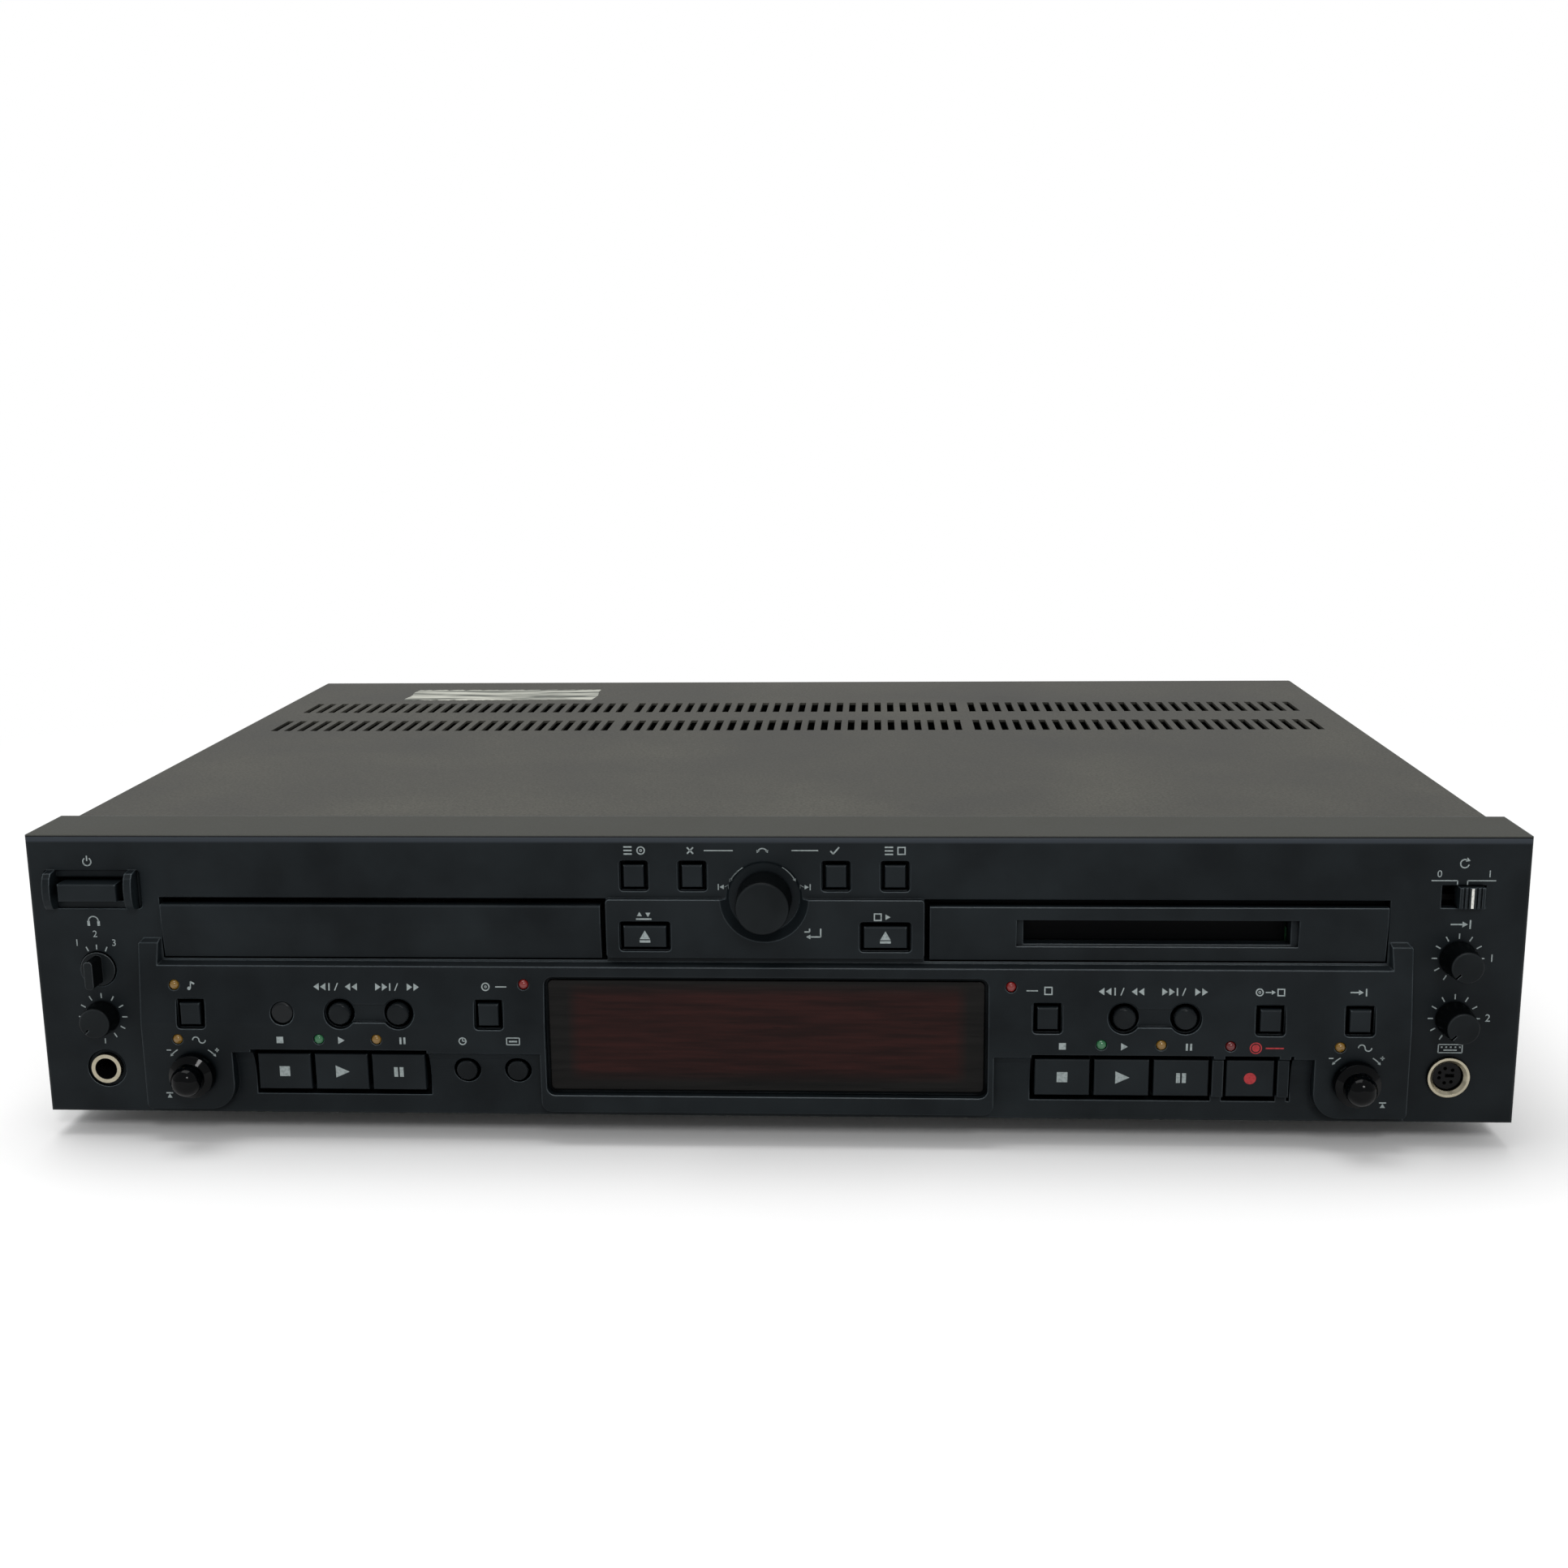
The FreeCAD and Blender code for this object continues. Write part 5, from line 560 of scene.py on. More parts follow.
# %% Finish the hard parts
round_key = moulded_plastic("polished_abs_keys", "#06080a", "#7d898f", 0.2, depth=0.001, edge=0.5, gloss=0.07)
round_keys = [node for node in nodes if "_skip_" in node] + ["time_button", "display_button"]
own_finishes = {
    **dict.fromkeys(round_keys, round_key),
    **socket_finishes,
    **board_finishes,
    "remote_window": lens,
    "front_panel": front_with_painted_edge(),
    "chassis": shade_fronted_chassis(),
    "slot_flap": moulded_plastic("moulded_abs_flap", "#040506", "#171a1c", 0.6, gloss=0.05),
}
for part in frame["record"]["subparts"]:
    finish = own_finishes.get(part["node"]) or finishes.get(part["material_slot"])
    if finish:
        slots = nodes[part["node"]].data.materials
        slots.clear()
        slots.append(finish)
print("finished", sum(1 for n in nodes.values() if n.data.materials), "hard parts")

# %% [markdown]
# ## Status lamps
# Ten round lamps tell what the deck is doing. Each is a 3 mm LED in tinted epoxy that looks out of its hole
# by under a millimetre. All are the same piece, so one is modelled and copied, and each copy gets its
# colour.

# %% Lamp finishes
CHIP_CUP = 1.2


def tinted_epoxy(name, colour, deep):
    """Clear tinted epoxy with the dark chip cup showing through."""
    material, place = new_finish(name, IOR=1.54, Roughness=0.12, Coat_Weight=0.1)
    cloudy = add_node(material, "ShaderNodeTexNoise", {
        "Vector": place, "Scale": scale_of(CHIP_CUP)}).outputs["Fac"]
    facing = add_node(material, "ShaderNodeLayerWeight", {"Blend": 0.45}).outputs["Facing"]
    depth = add_node(material, "ShaderNodeMath", {0: facing, 1: cloudy}, operation="MULTIPLY").outputs[0]
    tint = add_node(material, "ShaderNodeMix", {
        SHARE: depth, FIRST: hex_colour(colour), SECOND: hex_colour(deep)}, data_type="RGBA").outputs[MIXED]
    drive(material, Base_Color=tint)
    return material


amber = tinted_epoxy("amber_epoxy", "#75571c", "#38260c")
green = tinted_epoxy("green_epoxy", "#2a6340", "#0c2a16")
red = tinted_epoxy("red_epoxy", "#701614", "#2c0505")
deep_red = tinted_epoxy("deep_red_epoxy", "#580f10", "#200303")
print("lamp finishes:", amber.name, green.name, red.name, deep_red.name)

# %% [markdown]
# A few helpers are used for every new piece. Operators act on what is selected, so a helper selects one piece
# alone. A finished piece keeps its place in its mesh and its object at the origin, as the hard parts do.

# %% Helpers for new pieces
def only(*things):
    """Selects these objects and nothing else, and makes the first the active one."""
    bpy.ops.object.select_all(action="DESELECT")
    for thing in things:
        thing.select_set(True)
    bpy.context.view_layer.objects.active = things[0]


def settle(thing, body, material):
    """Writes an object's place into its mesh, gives it its finish and lets it ride on a body."""
    only(thing)
    bpy.ops.object.transform_apply(location=True, rotation=True, scale=True)
    thing.data.materials.clear()
    thing.data.materials.append(material)
    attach(thing, body)


def finish_modifier(thing, kind, name, **settings):
    """Adds a modifier with its settings and applies it."""
    modifier = thing.modifiers.new(name, kind)
    for setting, value in settings.items():
        setattr(modifier, setting, value)
    bpy.ops.object.modifier_apply(modifier=name)


# %% Model one lamp
LAMP_RADIUS, LAMP_LENGTH, LAMP_PROUD = 1.5, 12.0, 0.9
DOME, DOME_STEPS = 0.97, 8

bpy.ops.object.select_all(action="DESELECT")
bpy.ops.mesh.primitive_cylinder_add(
    vertices=32, radius=LAMP_RADIUS * MM, depth=LAMP_LENGTH * MM, rotation=(UPRIGHT, 0, 0))
lamp = bpy.context.object
bpy.ops.object.transform_apply(location=False, rotation=True, scale=True)
bpy.ops.object.mode_set(mode="EDIT")
bpy.ops.mesh.select_mode(type="FACE")
bpy.ops.mesh.select_all(action="DESELECT")
bpy.ops.object.mode_set(mode="OBJECT")
for face in lamp.data.polygons:
    face.select = face.normal.y < -0.9
bpy.ops.object.mode_set(mode="EDIT")
bpy.ops.mesh.bevel(offset=LAMP_RADIUS * MM * DOME, segments=DOME_STEPS, affect="EDGES")
bpy.ops.object.mode_set(mode="OBJECT")
bpy.ops.object.shade_smooth_by_angle(angle=math.radians(40))
lamp.data.transform(Matrix.Translation((0, LAMP_LENGTH / 2 * MM, 0)))
print("one lamp has", len(lamp.data.polygons), "faces")

# %% [markdown]
# The lower part of the front is an apron that stands out from the face. It is level up to its knee and then
# leans back to its crest, so a lamp on the slope stands a little further back.

# %% Copy the lamp into its holes
APRON, APRON_TOP, KNEE, CREST = 4.5, 1.0, 30.0, 54.9
LAMPS = {
    "key_led": (amber, -175.1, 41.3), "cd_pitch_led": (amber, -174.7, 24.9),
    "cd_play_led": (green, -132.2, 25.2), "cd_ready_led": (amber, -115.0, 25.2),
    "cd_source_led": (red, -70.9, 41.9), "md_source_led": (red, 71.3, 41.9),
    "md_play_led": (green, 97.4, 25.1), "md_ready_led": (amber, 114.6, 25.1),
    "record_led": (deep_red, 134.4, 24.9), "md_pitch_led": (amber, 165.6, 24.8),
}


def apron_level(height):
    """How far the lower, raised part of the front stands out from the face, in millimetres."""
    if height < KNEE:
        return APRON
    return APRON - (APRON - APRON_TOP) * (height - KNEE) / (CREST - KNEE)


for name, (finish, across, height) in LAMPS.items():
    copy = lamp.copy()
    copy.data = lamp.data.copy()
    copy.name = name
    bpy.context.scene.collection.objects.link(copy)
    copy.data.transform(Matrix.Translation(front_point(across, height, apron_level(height) + LAMP_PROUD)))
    settle(copy, "deck", finish)
    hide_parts("status_leds")
bpy.data.objects.remove(lamp)
print(len(LAMPS), "lamps stand in their holes")

# %% [markdown]
# ## Printed marks
# The marks beside the controls are screen-printed: a film of ink some hundredths of a millimetre thick. They
# are drawn here as plain signs, cut from strips, rings and triangles in front of the panel, and then dropped
# onto the surface with a Shrinkwrap modifier, so that they follow the slope of the moulding.

# %% Ink
INK_FLECK = 0.7


def ink(name, colour, worn):
    """Screen-printing ink with a slightly broken, uneven film."""
    material, place = new_finish(name, IOR=1.45, Roughness=0.6, Specular_IOR_Level=0.25)
    film = add_node(material, "ShaderNodeTexNoise", {
        "Vector": place, "Scale": scale_of(INK_FLECK), "Detail": 3.0}).outputs["Fac"]
    share = add_node(material, "ShaderNodeMapRange", {
        "Value": film, "From Min": 0.45, "From Max": 0.75}).outputs[0]
    tint = add_node(material, "ShaderNodeMix", {
        SHARE: share, FIRST: hex_colour(colour), SECOND: hex_colour(worn)}, data_type="RGBA").outputs[MIXED]
    drive(material, Base_Color=tint)
    return material


grey_ink = ink("grey_ink", "#8f9898", "#6f7878")
red_ink = ink("red_ink", "#a03034", "#7c2326")
white_ink = ink("white_ink", "#d8d8d2", "#aaaaa4")
print("inks:", grey_ink.name, red_ink.name, white_ink.name)

# %% [markdown]
# Signs are drawn on an upright sheet in front of the panel. A straight stroke is a plane that is stretched
# and turned in edit mode, a circle is a round spot with its middle taken out, and an arc is a row of
# strokes.

# %% Drawing tools for marks
IN_FRONT = 30.0
STROKE = 0.35
OVERLAP = 0.03


def sheet_point(across, height):
    """A point on the drawing sheet, which stands upright in front of the panel."""
    return front_point(across, height, IN_FRONT)


def strip(x0, z0, x1, z1, width=0.38):
    """A straight stroke between two points."""
    middle, turn = sheet_point((x0 + x1) / 2, (z0 + z1) / 2), math.atan2(z1 - z0, x1 - x0)
    length = math.hypot(x1 - x0, z1 - z0)
    bpy.ops.mesh.primitive_plane_add(size=MM, location=middle, rotation=(UPRIGHT, 0, 0))
    bpy.ops.transform.resize(value=(length, 1, width), center_override=middle)
    bpy.ops.transform.rotate(value=turn, orient_axis="Y", center_override=middle)


def path(points, width):
    """Straight strokes from point to point."""
    for start, end in zip(points, points[1:]):
        strip(*start, *end, width)


def dot(x, z, radius):
    """A round spot."""
    bpy.ops.mesh.primitive_circle_add(
        vertices=24, radius=radius * MM, fill_type="NGON",
        location=sheet_point(x, z), rotation=(UPRIGHT, 0, 0))


def block(x, z, side):
    """A filled square."""
    bpy.ops.mesh.primitive_plane_add(size=side * MM, location=sheet_point(x, z), rotation=(UPRIGHT, 0, 0))


def hollow(width):
    """Leaves only the rim of the shape that was just drawn."""
    bpy.ops.mesh.inset(thickness=width * MM)
    bpy.ops.mesh.delete(type="ONLY_FACE")


def ring(x, z, radius, width=STROKE):
    """A circle drawn with a stroke."""
    dot(x, z, radius)
    hollow(width)


def square(x, z, half, width=STROKE):
    """A square outline."""
    block(x, z, 2 * half)
    hollow(width)


def wedge(x, z, size, turn=0.0, stretch=1.0):
    """A triangle that points along +X, turned anticlockwise by an angle in degrees."""
    middle = sheet_point(x, z)
    bpy.ops.mesh.primitive_circle_add(
        vertices=3, radius=size * MM, fill_type="NGON", location=middle, rotation=(UPRIGHT, UPRIGHT, 0))
    bpy.ops.transform.resize(value=(stretch, 1, 1), center_override=middle)
    bpy.ops.transform.rotate(value=math.radians(turn), orient_axis="Y", center_override=middle)


def round_about(x, z, radius, turn):
    """A point on a circle, at an angle in degrees."""
    a = math.radians(turn)
    return x + radius * math.cos(a), z + radius * math.sin(a)


def sweep(x, z, radius, start, end, width=STROKE, steps=8):
    """An arc drawn with short strokes that overlap a little, between two angles in degrees."""
    for i in range(steps):
        turns = (start + (end - start) * (i + k) / steps for k in (-OVERLAP, 1 + OVERLAP))
        path([round_about(x, z, radius, turn) for turn in turns], width)


def arrow_tips(x, z, radius, turns, size):
    """Arrow tips at the ends of an arc, each pointing away from the top of its circle."""
    for turn in turns:
        wedge(*round_about(x, z, radius, turn), size, turn + 90 if turn > 90 else turn - 90)


def frame_outline(x0, z0, x1, z1, width=0.3):
    """The four sides of a rectangle, given by two opposite corners."""
    for z in (z0, z1):
        strip(x0, z, x1, z, width)
    for x in (x0, x1):
        strip(x, z0, x, z1, width)


print("the drawing sheet stands", IN_FRONT, "mm in front of the panel")

# %% [markdown]
# A sheet starts as a plane with its vertices deleted, so that signs can be added to it in edit mode. When all
# are drawn, they are dropped onto the surface and get the thickness of the ink.

# %% Sheets and printing
INK_FILM = 0.03


def start_sheet(name):
    """An empty mesh that marks are drawn into."""
    bpy.ops.object.select_all(action="DESELECT")
    bpy.ops.mesh.primitive_plane_add(size=MM)
    sheet = bpy.context.object
    sheet.name = name
    bpy.ops.object.mode_set(mode="EDIT")
    bpy.ops.mesh.select_mode(type="FACE")
    bpy.ops.mesh.delete(type="VERT")
    return sheet


def draw_more(sheet):
    """Goes on drawing into a sheet."""
    only(sheet)
    bpy.ops.object.mode_set(mode="EDIT")


def stop_drawing(sheet):
    """Leaves a sheet for now."""
    bpy.ops.object.mode_set(mode="OBJECT")
    print(sheet.name, "has", len(sheet.data.polygons), "faces so far")


def number_sign(text, x, z, size):
    """A plain number as a flat mesh object."""
    bpy.ops.object.text_add(location=sheet_point(x, z), rotation=(UPRIGHT, 0, 0))
    sign = bpy.context.object
    sign.data.body = text
    sign.data.size = size * MM
    sign.data.align_x, sign.data.align_y = "CENTER", "CENTER"
    bpy.ops.object.convert(target="MESH")
    return sign


def print_on(sheet, target, body, material):
    """Drops the drawn marks onto a surface and gives the ink its thickness."""
    only(sheet)
    bpy.ops.object.transform_apply(location=True, rotation=True, scale=True)
    finish_modifier(
        sheet, "SHRINKWRAP", "drop", target=target, wrap_method="PROJECT", use_project_y=True,
        use_positive_direction=True, use_negative_direction=False, offset=INK_FILM * MM)
    finish_modifier(sheet, "SOLIDIFY", "film", thickness=INK_FILM * MM, offset=-1.0)
    settle(sheet, body, material)


print("ink is", INK_FILM, "mm thick")

# %% [markdown]
# Each control gets a small sign that says what it does without words: a ring for a disc, a square for a
# cartridge, a clock for the time, and plain numbers for the positions of a dial or a switch. A sign that is
# used more than once is a small function that draws it at a place.

# %% Signs
def middle_of(node):
    """Where a part's middle is on the front: across, and up from the panel's lower edge, in millimetres."""
    low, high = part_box(node)
    return (low.x + high.x) / 2 / MM, (low.z + high.z) / 2 / MM - FOOT


def ticks(knob, turns, inner=5.85, outer=7.4):
    """Short strokes round a knob at some turns in degrees."""
    x, z = middle_of(knob)
    for turn in turns:
        path([round_about(x, z, radius, turn) for radius in (inner, outer)], 0.36)


def input_sign(start, end, z, bar, half, size, width):
    """An arrow that runs up to an upright bar."""
    strip(start, z, end, z, width)
    wedge(end + 0.4, z, size)
    strip(bar, z - half, bar, z + half, width)


def disc_sign(x, z, radius=1.25):
    """A disc with its small hole."""
    ring(x, z, radius)
    ring(x, z, 0.4, 0.2)


def pause_sign(x, z, apart, half, width):
    """Two upright bars."""
    for bar in (x - apart, x + apart):
        strip(bar, z - half, bar, z + half, width)


print("middle of the power key:", [round(v, 1) for v in middle_of("power_button")])

# %% Marks on the ends of the front
SWITCH_LINE, SWITCH_CORNER = 73.3, 72.1

front_marks = start_sheet("front_marks")
sweep(-199.2, 78.1, 1.25, 125, 415)
strip(-199.2, 78.3, -199.2, 79.9)
sweep(-198.9, 59.9, 1.5, 0, 180)
for x in (-200.4, -197.4):
    strip(x, 58.5, x, 60.0, 0.8)
ticks("phones_selector_knob", (65, 90, 115), 6.0, 7.5)
for knob in ("phones_level_knob", "input_left_knob", "input_right_knob"):
    ticks(knob, range(-60, 241, 30))
strip(-198.7, 21.8, -198.7, 23.4, 0.36)
sweep(198.6, 78.3, 1.25, 60, 345)
wedge(199.4, 79.35, 0.75, -20)
for x, corner in ((189.6, 196.9), (207.6, 199.7)):
    path([(x, SWITCH_LINE), (corner, SWITCH_LINE), (corner, SWITCH_CORNER)], 0.3)
input_sign(195.8, 199.2, 60.4, 201.3, 1.3, 1.0, 0.42)
frame_outline(194.7, 21.8, 201.5, 24.3)
for i in range(5):
    strip(195.4 + i * 1.3, 23.5, 195.9 + i * 1.3, 23.5, 0.45)
strip(196.2, 22.6, 200.0, 22.6, 0.4)
stop_drawing(front_marks)

# %% Marks along the top of the front
JOG, JOG_ARC = (-0.45, 67.6), 10.7
TOP_ROW = 81.75

draw_more(front_marks)
for side in (-1, 1):
    for row in range(3):
        level = 80.7 + row * 1.05
        strip(37.7 * side - 2.9, level, 37.7 * side - 0.5, level, 0.42)
disc_sign(-35.6, TOP_ROW)
square(39.6, TOP_ROW, 1.2)
for low, high in ((80.8, 82.7), (82.7, 80.8)):
    strip(-22.2, low, -20.4, high, 0.42)
strip(-17.3, TOP_ROW, -8.9, TOP_ROW, 0.32)
strip(8.0, 81.8, 15.7, 81.8, 0.32)
path([(19.2, 81.7), (20.0, 80.8), (21.7, 82.8)], 0.42)
sweep(-0.4, 80.9, 1.5, 25, 155)
arrow_tips(-0.4, 80.9, 1.5, (25, 155), 0.55)
for start, end in ((122, 149), (31, 58)):
    sweep(*JOG, JOG_ARC, start, end, 0.32)
arrow_tips(*JOG, JOG_ARC, (150, 30), 0.6)
for side in (-1, 1):
    for step in (0.81, -0.54):
        wedge((11.3 + step) * side, 70.9, 0.8, 0 if side > 0 else 180)
    strip(13.3 * side, 70.0, 13.3 * side, 71.8, 0.3)
stop_drawing(front_marks)

# %% Marks on the centre block and the apron
PITCH_HEIGHT, PITCH_ARC = 14.3, 8.65

draw_more(front_marks)
strip(-37.3, 61.6, -32.8, 61.6, 0.45)
wedge(-36.3, 62.9, 0.85, 90)
wedge(-33.8, 63.1, 0.85, -90)
square(32.8, 62.4, 1.15)
wedge(35.5, 62.4, 0.95)
path([(13.1, 58.9), (13.1, 57.9), (11.6, 57.9)], 0.4)
path([(16.3, 58.9), (16.3, 56.4), (13.2, 56.4)], 0.4)
wedge(12.9, 56.4, 0.8, 180)
dot(-170.6, 40.3, 0.5)
strip(-170.15, 40.3, -170.15, 42.3, 0.3)
strip(-170.15, 42.2, -169.0, 41.6, 0.5)
for x in (-168.3, 172.6):
    sweep(x - 0.95, 24.7, 0.95, 0, 180)
    sweep(x + 0.95, 24.7, 0.95, 180, 360)
for x in (-170.4, 170.4):
    for start, end in ((122, 138), (42, 58)):
        sweep(x, PITCH_HEIGHT, PITCH_ARC, start, end, 0.32, 4)
    arrow_tips(x, PITCH_HEIGHT, PITCH_ARC, (139, 41), 0.55)
    strip(x - 7.9, 21.5, x - 6.6, 21.5, 0.32)
    strip(x + 6.7, 21.6, x + 7.9, 21.6, 0.32)
    strip(x + 7.3, 21.0, x + 7.3, 22.2, 0.32)
for x in (-178.5, 178.5):
    wedge(x, 6.9, 0.85, 90)
    strip(x - 1.0, 8.0, x + 1.0, 8.0, STROKE)
stop_drawing(front_marks)

# %% Marks over the transport keys
draw_more(front_marks)
for stop_x, play_x, ready_x, level in ((-143.9, -125.8, -107.2, 24.9), (86.2, 103.7, 122.5, 24.6)):
    block(stop_x, level, 2.0)
    wedge(play_x, level, 1.3)
    pause_sign(ready_x, level, 0.6, 1.05, 0.6)
for x, side, level in ((-127.0, -1, 41.0), (-108.1, 1, 41.0), (102.7, -1, 40.8), (121.3, 1, 40.8)):
    for offset in (-6.2, -4.2, 3.2, 5.2):
        wedge(x + offset * side, level, 1.25, 0 if side > 0 else 180, 0.85)
    slash = x - 0.5 * side
    strip(slash - 0.45, level - 1.1, slash + 0.45, level + 1.1, 0.3)
    bar = x - 2.0 - 0.4 * side
    strip(bar, level - 1.1, bar, level + 1.1, 0.4)
stop_drawing(front_marks)

# %% Marks over the square and round keys
DISC_ROW, CARTRIDGE_ROW = 41.2, 40.9

draw_more(front_marks)
disc_sign(-82.1, DISC_ROW)
strip(-79.2, DISC_ROW, -75.9, DISC_ROW, 0.32)
strip(75.7, CARTRIDGE_ROW, 79.0, CARTRIDGE_ROW, 0.32)
square(82.0, CARTRIDGE_ROW, 1.2)
ring(-89.3, 24.9, 1.2)
strip(-89.3, 24.9, -89.3, 25.8, 0.28)
strip(-89.3, 24.9, -88.6, 24.9, 0.28)
frame_outline(-76.2, 23.9, -72.4, 26.0)
strip(-75.5, 24.9, -73.1, 24.9, 0.5)
disc_sign(142.3, 40.8, 1.15)
strip(144.0, 40.8, 145.6, 40.8, STROKE)
wedge(146.1, 40.8, 0.75)
square(148.4, 40.8, 1.1)
input_sign(168.0, 170.4, 40.9, 172.5, 1.1, 0.9, 0.4)
stop_drawing(front_marks)

# %% Numbers, and printing on the front
NUMBERS = (
    ("1", -204.5, 53.2, 2.9), ("2", -198.8, 55.9, 2.9), ("3", -193.3, 53.2, 2.9),
    ("0", 191.8, 75.2, 2.9), ("1", 205.8, 75.2, 2.9), ("1", 208.0, 50.3, 3.2), ("2", 208.1, 32.3, 3.2))

signs = [number_sign(*entry) for entry in NUMBERS]
only(front_marks, *signs)
bpy.ops.object.join()
print_on(front_marks, nodes["front_panel"], "deck", grey_ink)
print("front marks:", len(front_marks.data.polygons), "faces")

# %% Red marks for recording
record_marks = start_sheet("record_marks")
dot(141.6, 24.4, 1.1)
ring(141.6, 24.4, 1.75, 0.3)
strip(144.4, 24.4, 149.6, 24.4, 0.4)
stop_drawing(record_marks)
print_on(record_marks, nodes["front_panel"], "deck", red_ink)

# %% [markdown]
# The signs on the keys move with the keys, so each is a piece of its own that rides on its key.

# %% Signs on the keys
def eject_sign(x, z):
    """A triangle over a bar."""
    wedge(x, z, 1.75, 90)
    strip(x - 1.55, z - 1.55, x + 1.55, z - 1.55, 0.7)


def print_sign(node, name, place, draw, *sizes, material=grey_ink):
    """Draws a sign at a place and prints it on a part that moves."""
    sign = start_sheet(name)
    draw(*place, *sizes)
    bpy.ops.object.mode_set(mode="OBJECT")
    print_on(sign, nodes[node], node, material)


for row in ("cd", "md"):
    stop, play, ready = (f"{row}_{key}" for key in ("stop", "play", "ready"))
    print_sign(stop + "_button", stop + "_sign", middle_of(stop + "_button"), block, 3.1)
    x, z = middle_of(play + "_button")
    print_sign(play + "_button", play + "_sign", (x - 0.4, z), wedge, 2.2, 0, 1.25)
    print_sign(ready + "_button", ready + "_sign", middle_of(ready + "_button"), pause_sign, 0.85, 1.5, 1.15)
print_sign("md_record_button", "md_record_sign", middle_of("md_record_button"), dot, 1.75, material=red_ink)
print_sign("open_close_button", "open_close_sign", (-34.8, 56.55), eject_sign)
print_sign("eject_button", "eject_sign", (35.0, 56.55), eject_sign)
x, z = middle_of("continue_switch")
print_sign(
    "continue_switch", "continue_switch_mark", (x, z - 2.9), strip, x, z + 2.9, 0.75, material=white_ink)

# %% [markdown]
# ## Remains of a label
# A pale paper label was peeled off the cover and left a torn, blank strip behind. It is drawn as a plane cut
# into small squares whose edges are pulled about by an uneven pattern, and then given the paper's thickness.

# %% Torn label
LABEL_MIDDLE, LABEL_SIZE, PAPER = (-126.0, 113.0), (80.0, 26.0), 0.1
FIBRE, TEAR_STRETCH = 26.0, 7.0
TEARS = ((0.9, 1.7, 0.0), (0.7, 4.1, 1.0), (0.5, 9.3, 0.0))


def torn_paper():
    """Greyish paper with level tear lines through which the paint shows darker."""
    material, place = new_finish("torn_paper", IOR=1.5, Roughness=0.85, Specular_IOR_Level=0.2)
    level = add_node(material, "ShaderNodeMapping", {
        "Vector": place, "Scale": (1.0, TEAR_STRETCH, 1.0)}).outputs[0]
    fibres = add_node(material, "ShaderNodeTexNoise", {
        "Vector": level, "Scale": scale_of(FIBRE), "Detail": 8.0}).outputs["Fac"]
    share = add_node(material, "ShaderNodeMapRange", {
        "Value": fibres, "From Min": 0.4, "From Max": 0.62}).outputs[0]
    tint = add_node(material, "ShaderNodeMix", {
        SHARE: share, FIRST: hex_colour("#bdbeb4"), SECOND: hex_colour("#5c5f5a")},
        data_type="RGBA").outputs[MIXED]
    bump = add_node(material, "ShaderNodeBump", {"Height": fibres, "Distance": PAPER * MM}).outputs[0]
    drive(material, Base_Color=tint, Normal=bump)
    return material


cover_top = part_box("top_cover")[1].z
bpy.ops.object.select_all(action="DESELECT")
bpy.ops.mesh.primitive_grid_add(
    x_subdivisions=64, y_subdivisions=8, size=1,
    location=(LABEL_MIDDLE[0] * MM, LABEL_MIDDLE[1] * MM, cover_top))
label = bpy.context.object
label.name = "label_remains"
label.scale = (LABEL_SIZE[0] * MM, LABEL_SIZE[1] * MM, 1)
bpy.ops.object.transform_apply(location=True, rotation=True, scale=True)
for vertex in label.data.vertices:
    across = vertex.co.x / MM
    lean = (vertex.co.y / MM - LABEL_MIDDLE[1]) / LABEL_SIZE[1]
    ragged = sum(size * math.sin(across * pace + shift) for size, pace, shift in TEARS)
    vertex.co.y += lean * ragged * MM
    vertex.co.x += math.sin(vertex.co.y / MM * 2.3) * 0.5 * MM
only(label)
finish_modifier(label, "SOLIDIFY", "paper", thickness=PAPER * MM, offset=1.0)
settle(label, "deck", torn_paper())
print("label:", len(label.data.polygons), "faces")

# %% [markdown]
# ## Studio
# The deck stands on a plain pale floor in soft, even light. The world lights it from all sides, a wide lamp
# above it lights the cover, and a smaller one above the front gives the tops of edges their shine. The
# background is white where the camera or a clear part looks straight at it, which leaves the light on the
# deck as it is. Far from the deck the floor fades into that white, and near it the floor keeps its shadow.

# %% Floor
FADE_START, FADE_END = 0.35, 0.75

bpy.ops.object.select_all(action="DESELECT")
bpy.ops.mesh.primitive_plane_add(size=12, location=(0, 0, 0))
floor = bpy.context.object
floor.name = "studio_floor"
floor_paint, floor_place = new_finish(
    "pale_floor", Base_Color=hex_colour("#f7f7f7"), Roughness=0.9, Specular_IOR_Level=0.1)
away = add_node(floor_paint, "ShaderNodeVectorMath", {0: floor_place}, operation="LENGTH").outputs["Value"]
far = add_node(floor_paint, "ShaderNodeMapRange", {
    "Value": away, "From Min": FADE_START, "From Max": FADE_END}).outputs[0]
looks = add_node(floor_paint, "ShaderNodeLightPath").outputs
direct = add_node(floor_paint, "ShaderNodeMath", {
    0: looks["Is Camera Ray"], 1: looks["Is Transmission Ray"]}, operation="MAXIMUM").outputs[0]
share = add_node(floor_paint, "ShaderNodeMath", {0: direct, 1: far}, operation="MULTIPLY").outputs[0]
plain_white = add_node(floor_paint, "ShaderNodeEmission", {"Color": hex_colour("#ffffff")}).outputs[0]
painted = floor_paint.node_tree.nodes["Principled BSDF"].outputs[0]
blend = add_node(floor_paint, "ShaderNodeMixShader", {0: share, 1: painted, 2: plain_white}).outputs[0]
surface = floor_paint.node_tree.nodes["Material Output"].inputs["Surface"]
floor_paint.node_tree.links.new(blend, surface)
floor.data.materials.append(floor_paint)
print("floor fades to white between", FADE_START, "and", FADE_END, "m")

# %% World and lamps
SOFT_LIGHT, WHITE = 0.6, 1.0
LOOKED_AT = Vector((0, 0, 0.05))

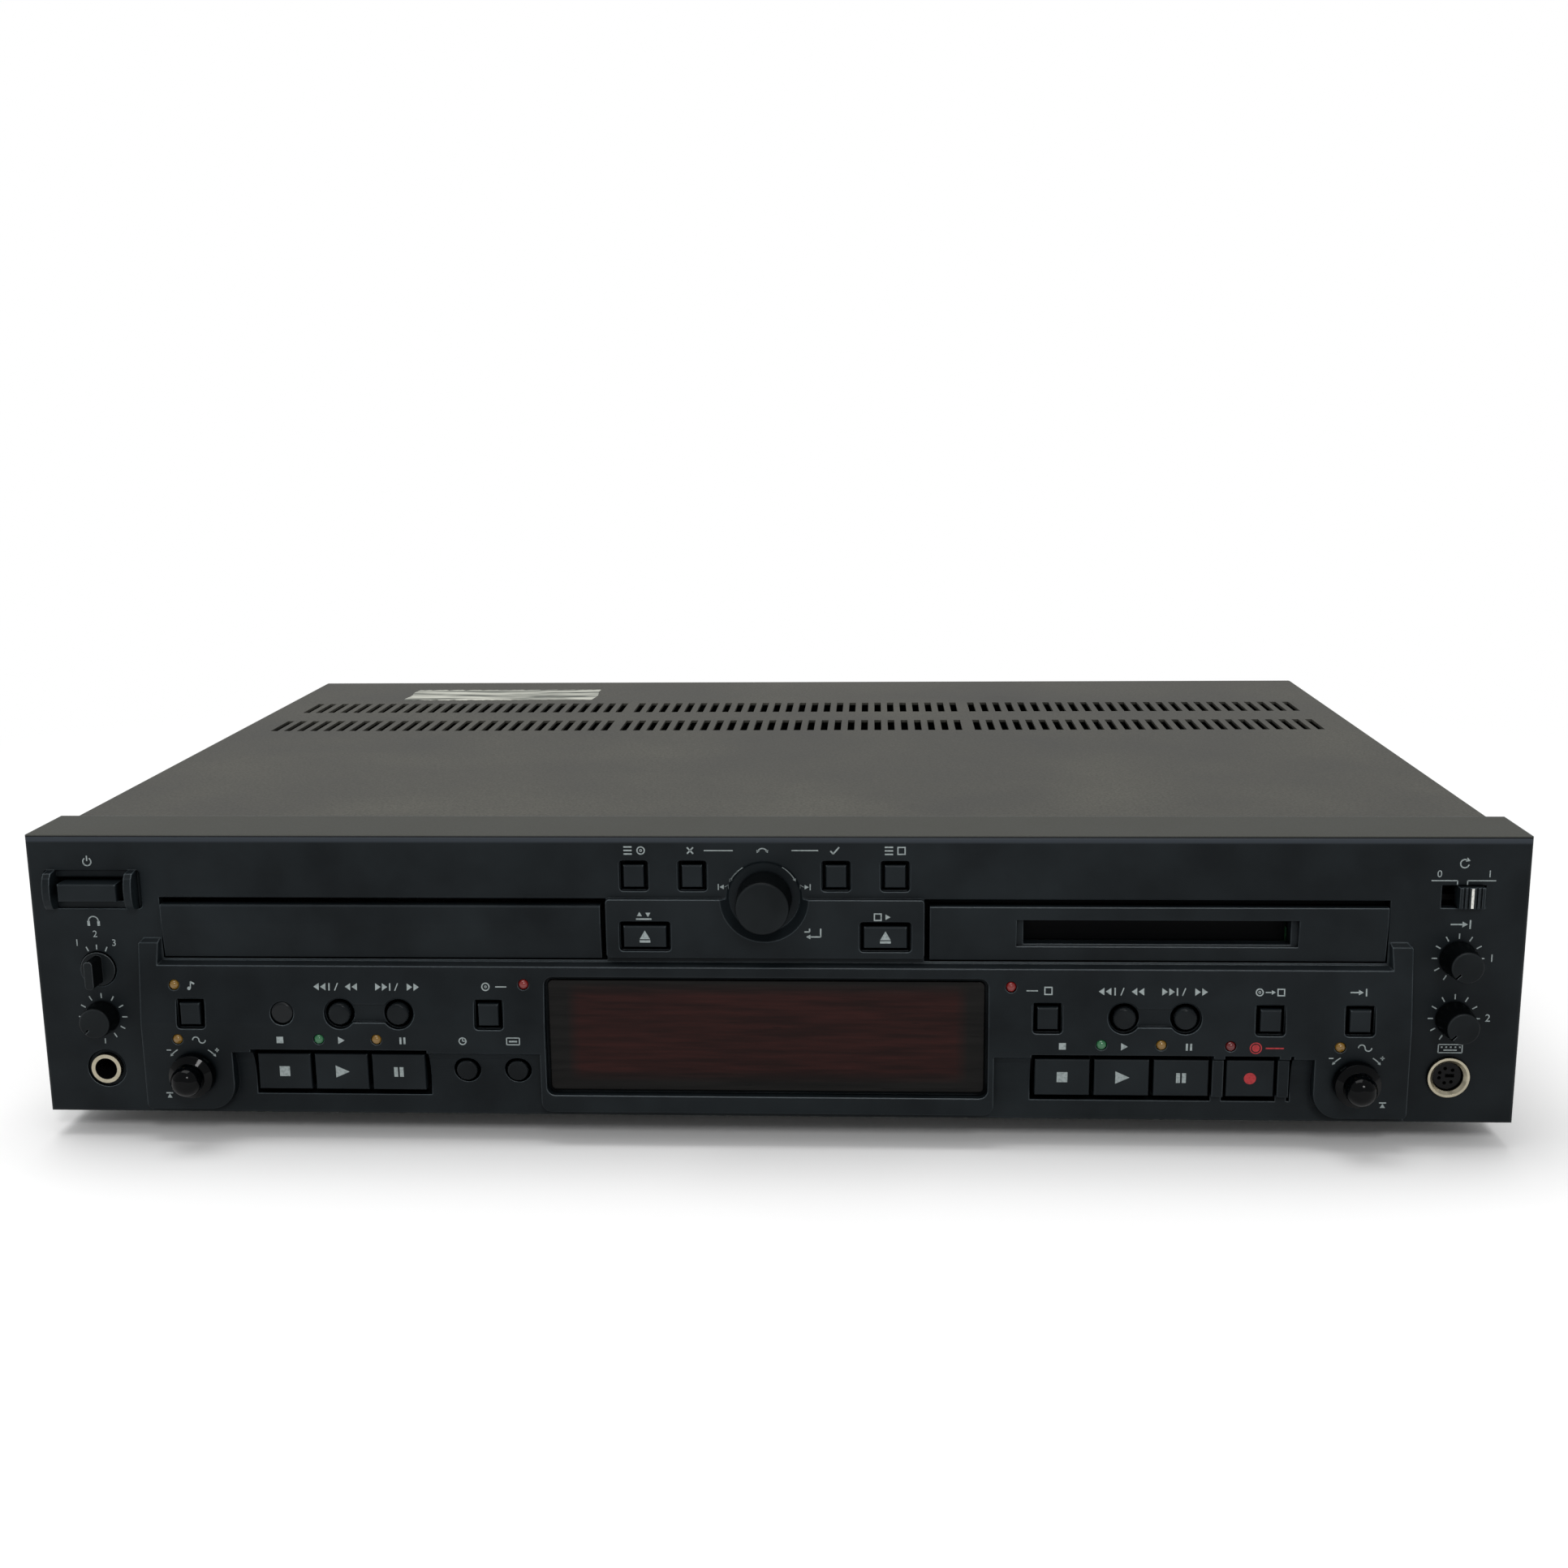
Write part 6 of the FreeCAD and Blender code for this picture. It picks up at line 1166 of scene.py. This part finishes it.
world = bpy.data.worlds.new("studio")
bpy.context.scene.world = world
world.use_nodes = True
world.node_tree.nodes.clear()
looks = add_node(world, "ShaderNodeLightPath").outputs
direct = add_node(world, "ShaderNodeMath", {
    0: looks["Is Camera Ray"], 1: looks["Is Transmission Ray"]}, operation="MAXIMUM").outputs[0]
soft, white = (add_node(world, "ShaderNodeBackground", {
    "Color": hex_colour("#ffffff"), "Strength": strength}).outputs[0] for strength in (SOFT_LIGHT, WHITE))
choose = add_node(world, "ShaderNodeMixShader", {0: direct, 1: soft, 2: white}).outputs[0]
add_node(world, "ShaderNodeOutputWorld", {"Surface": choose})


def soft_lamp(name, place, size, power):
    """A wide area lamp that looks at the deck."""
    bpy.ops.object.light_add(type="AREA", location=place)
    lamp = bpy.context.object
    lamp.name = name
    lamp.data.shape, lamp.data.size, lamp.data.energy = "SQUARE", size, power
    lamp.rotation_euler = (LOOKED_AT - Vector(place)).to_track_quat("-Z", "Y").to_euler()


soft_lamp("top_lamp", (-0.3, 0.1, 2.2), 1.6, 28)
soft_lamp("front_lamp", (0.5, -2.2, 1.6), 0.5, 18)
print("studio is lit")

# %% [markdown]
# The camera stands in front of the deck, a little to the right and above it, and looks down at it. Its focal
# length is given in pixels of a square picture, and its turns are radians.

# %% Camera
SENSOR, FOCAL_PIXELS, PICTURE_PIXELS = 36.0, 2229, 1932
CAMERA_PLACE = (0.0318, -0.644, 0.218)
PAN, TILT, ROLL = 0.051, 0.212, 0.011

camera_data = bpy.data.cameras.new("camera")
camera_data.sensor_width = SENSOR
camera_data.lens = SENSOR * FOCAL_PIXELS / PICTURE_PIXELS
camera_data.clip_start, camera_data.clip_end = 0.05, 50
camera = bpy.data.objects.new("camera", camera_data)
bpy.context.scene.collection.objects.link(camera)
turn = Matrix.Rotation(PAN, 4, "Z") @ Matrix.Rotation(UPRIGHT - TILT, 4, "X") @ Matrix.Rotation(-ROLL, 4, "Z")
camera.matrix_world = Matrix.Translation(CAMERA_PLACE) @ turn
bpy.context.scene.camera = camera
bpy.context.scene.view_settings.view_transform = "Standard"
print("camera stands", round((camera.location - front_point(0, 42)).length, 3), "m from the front")
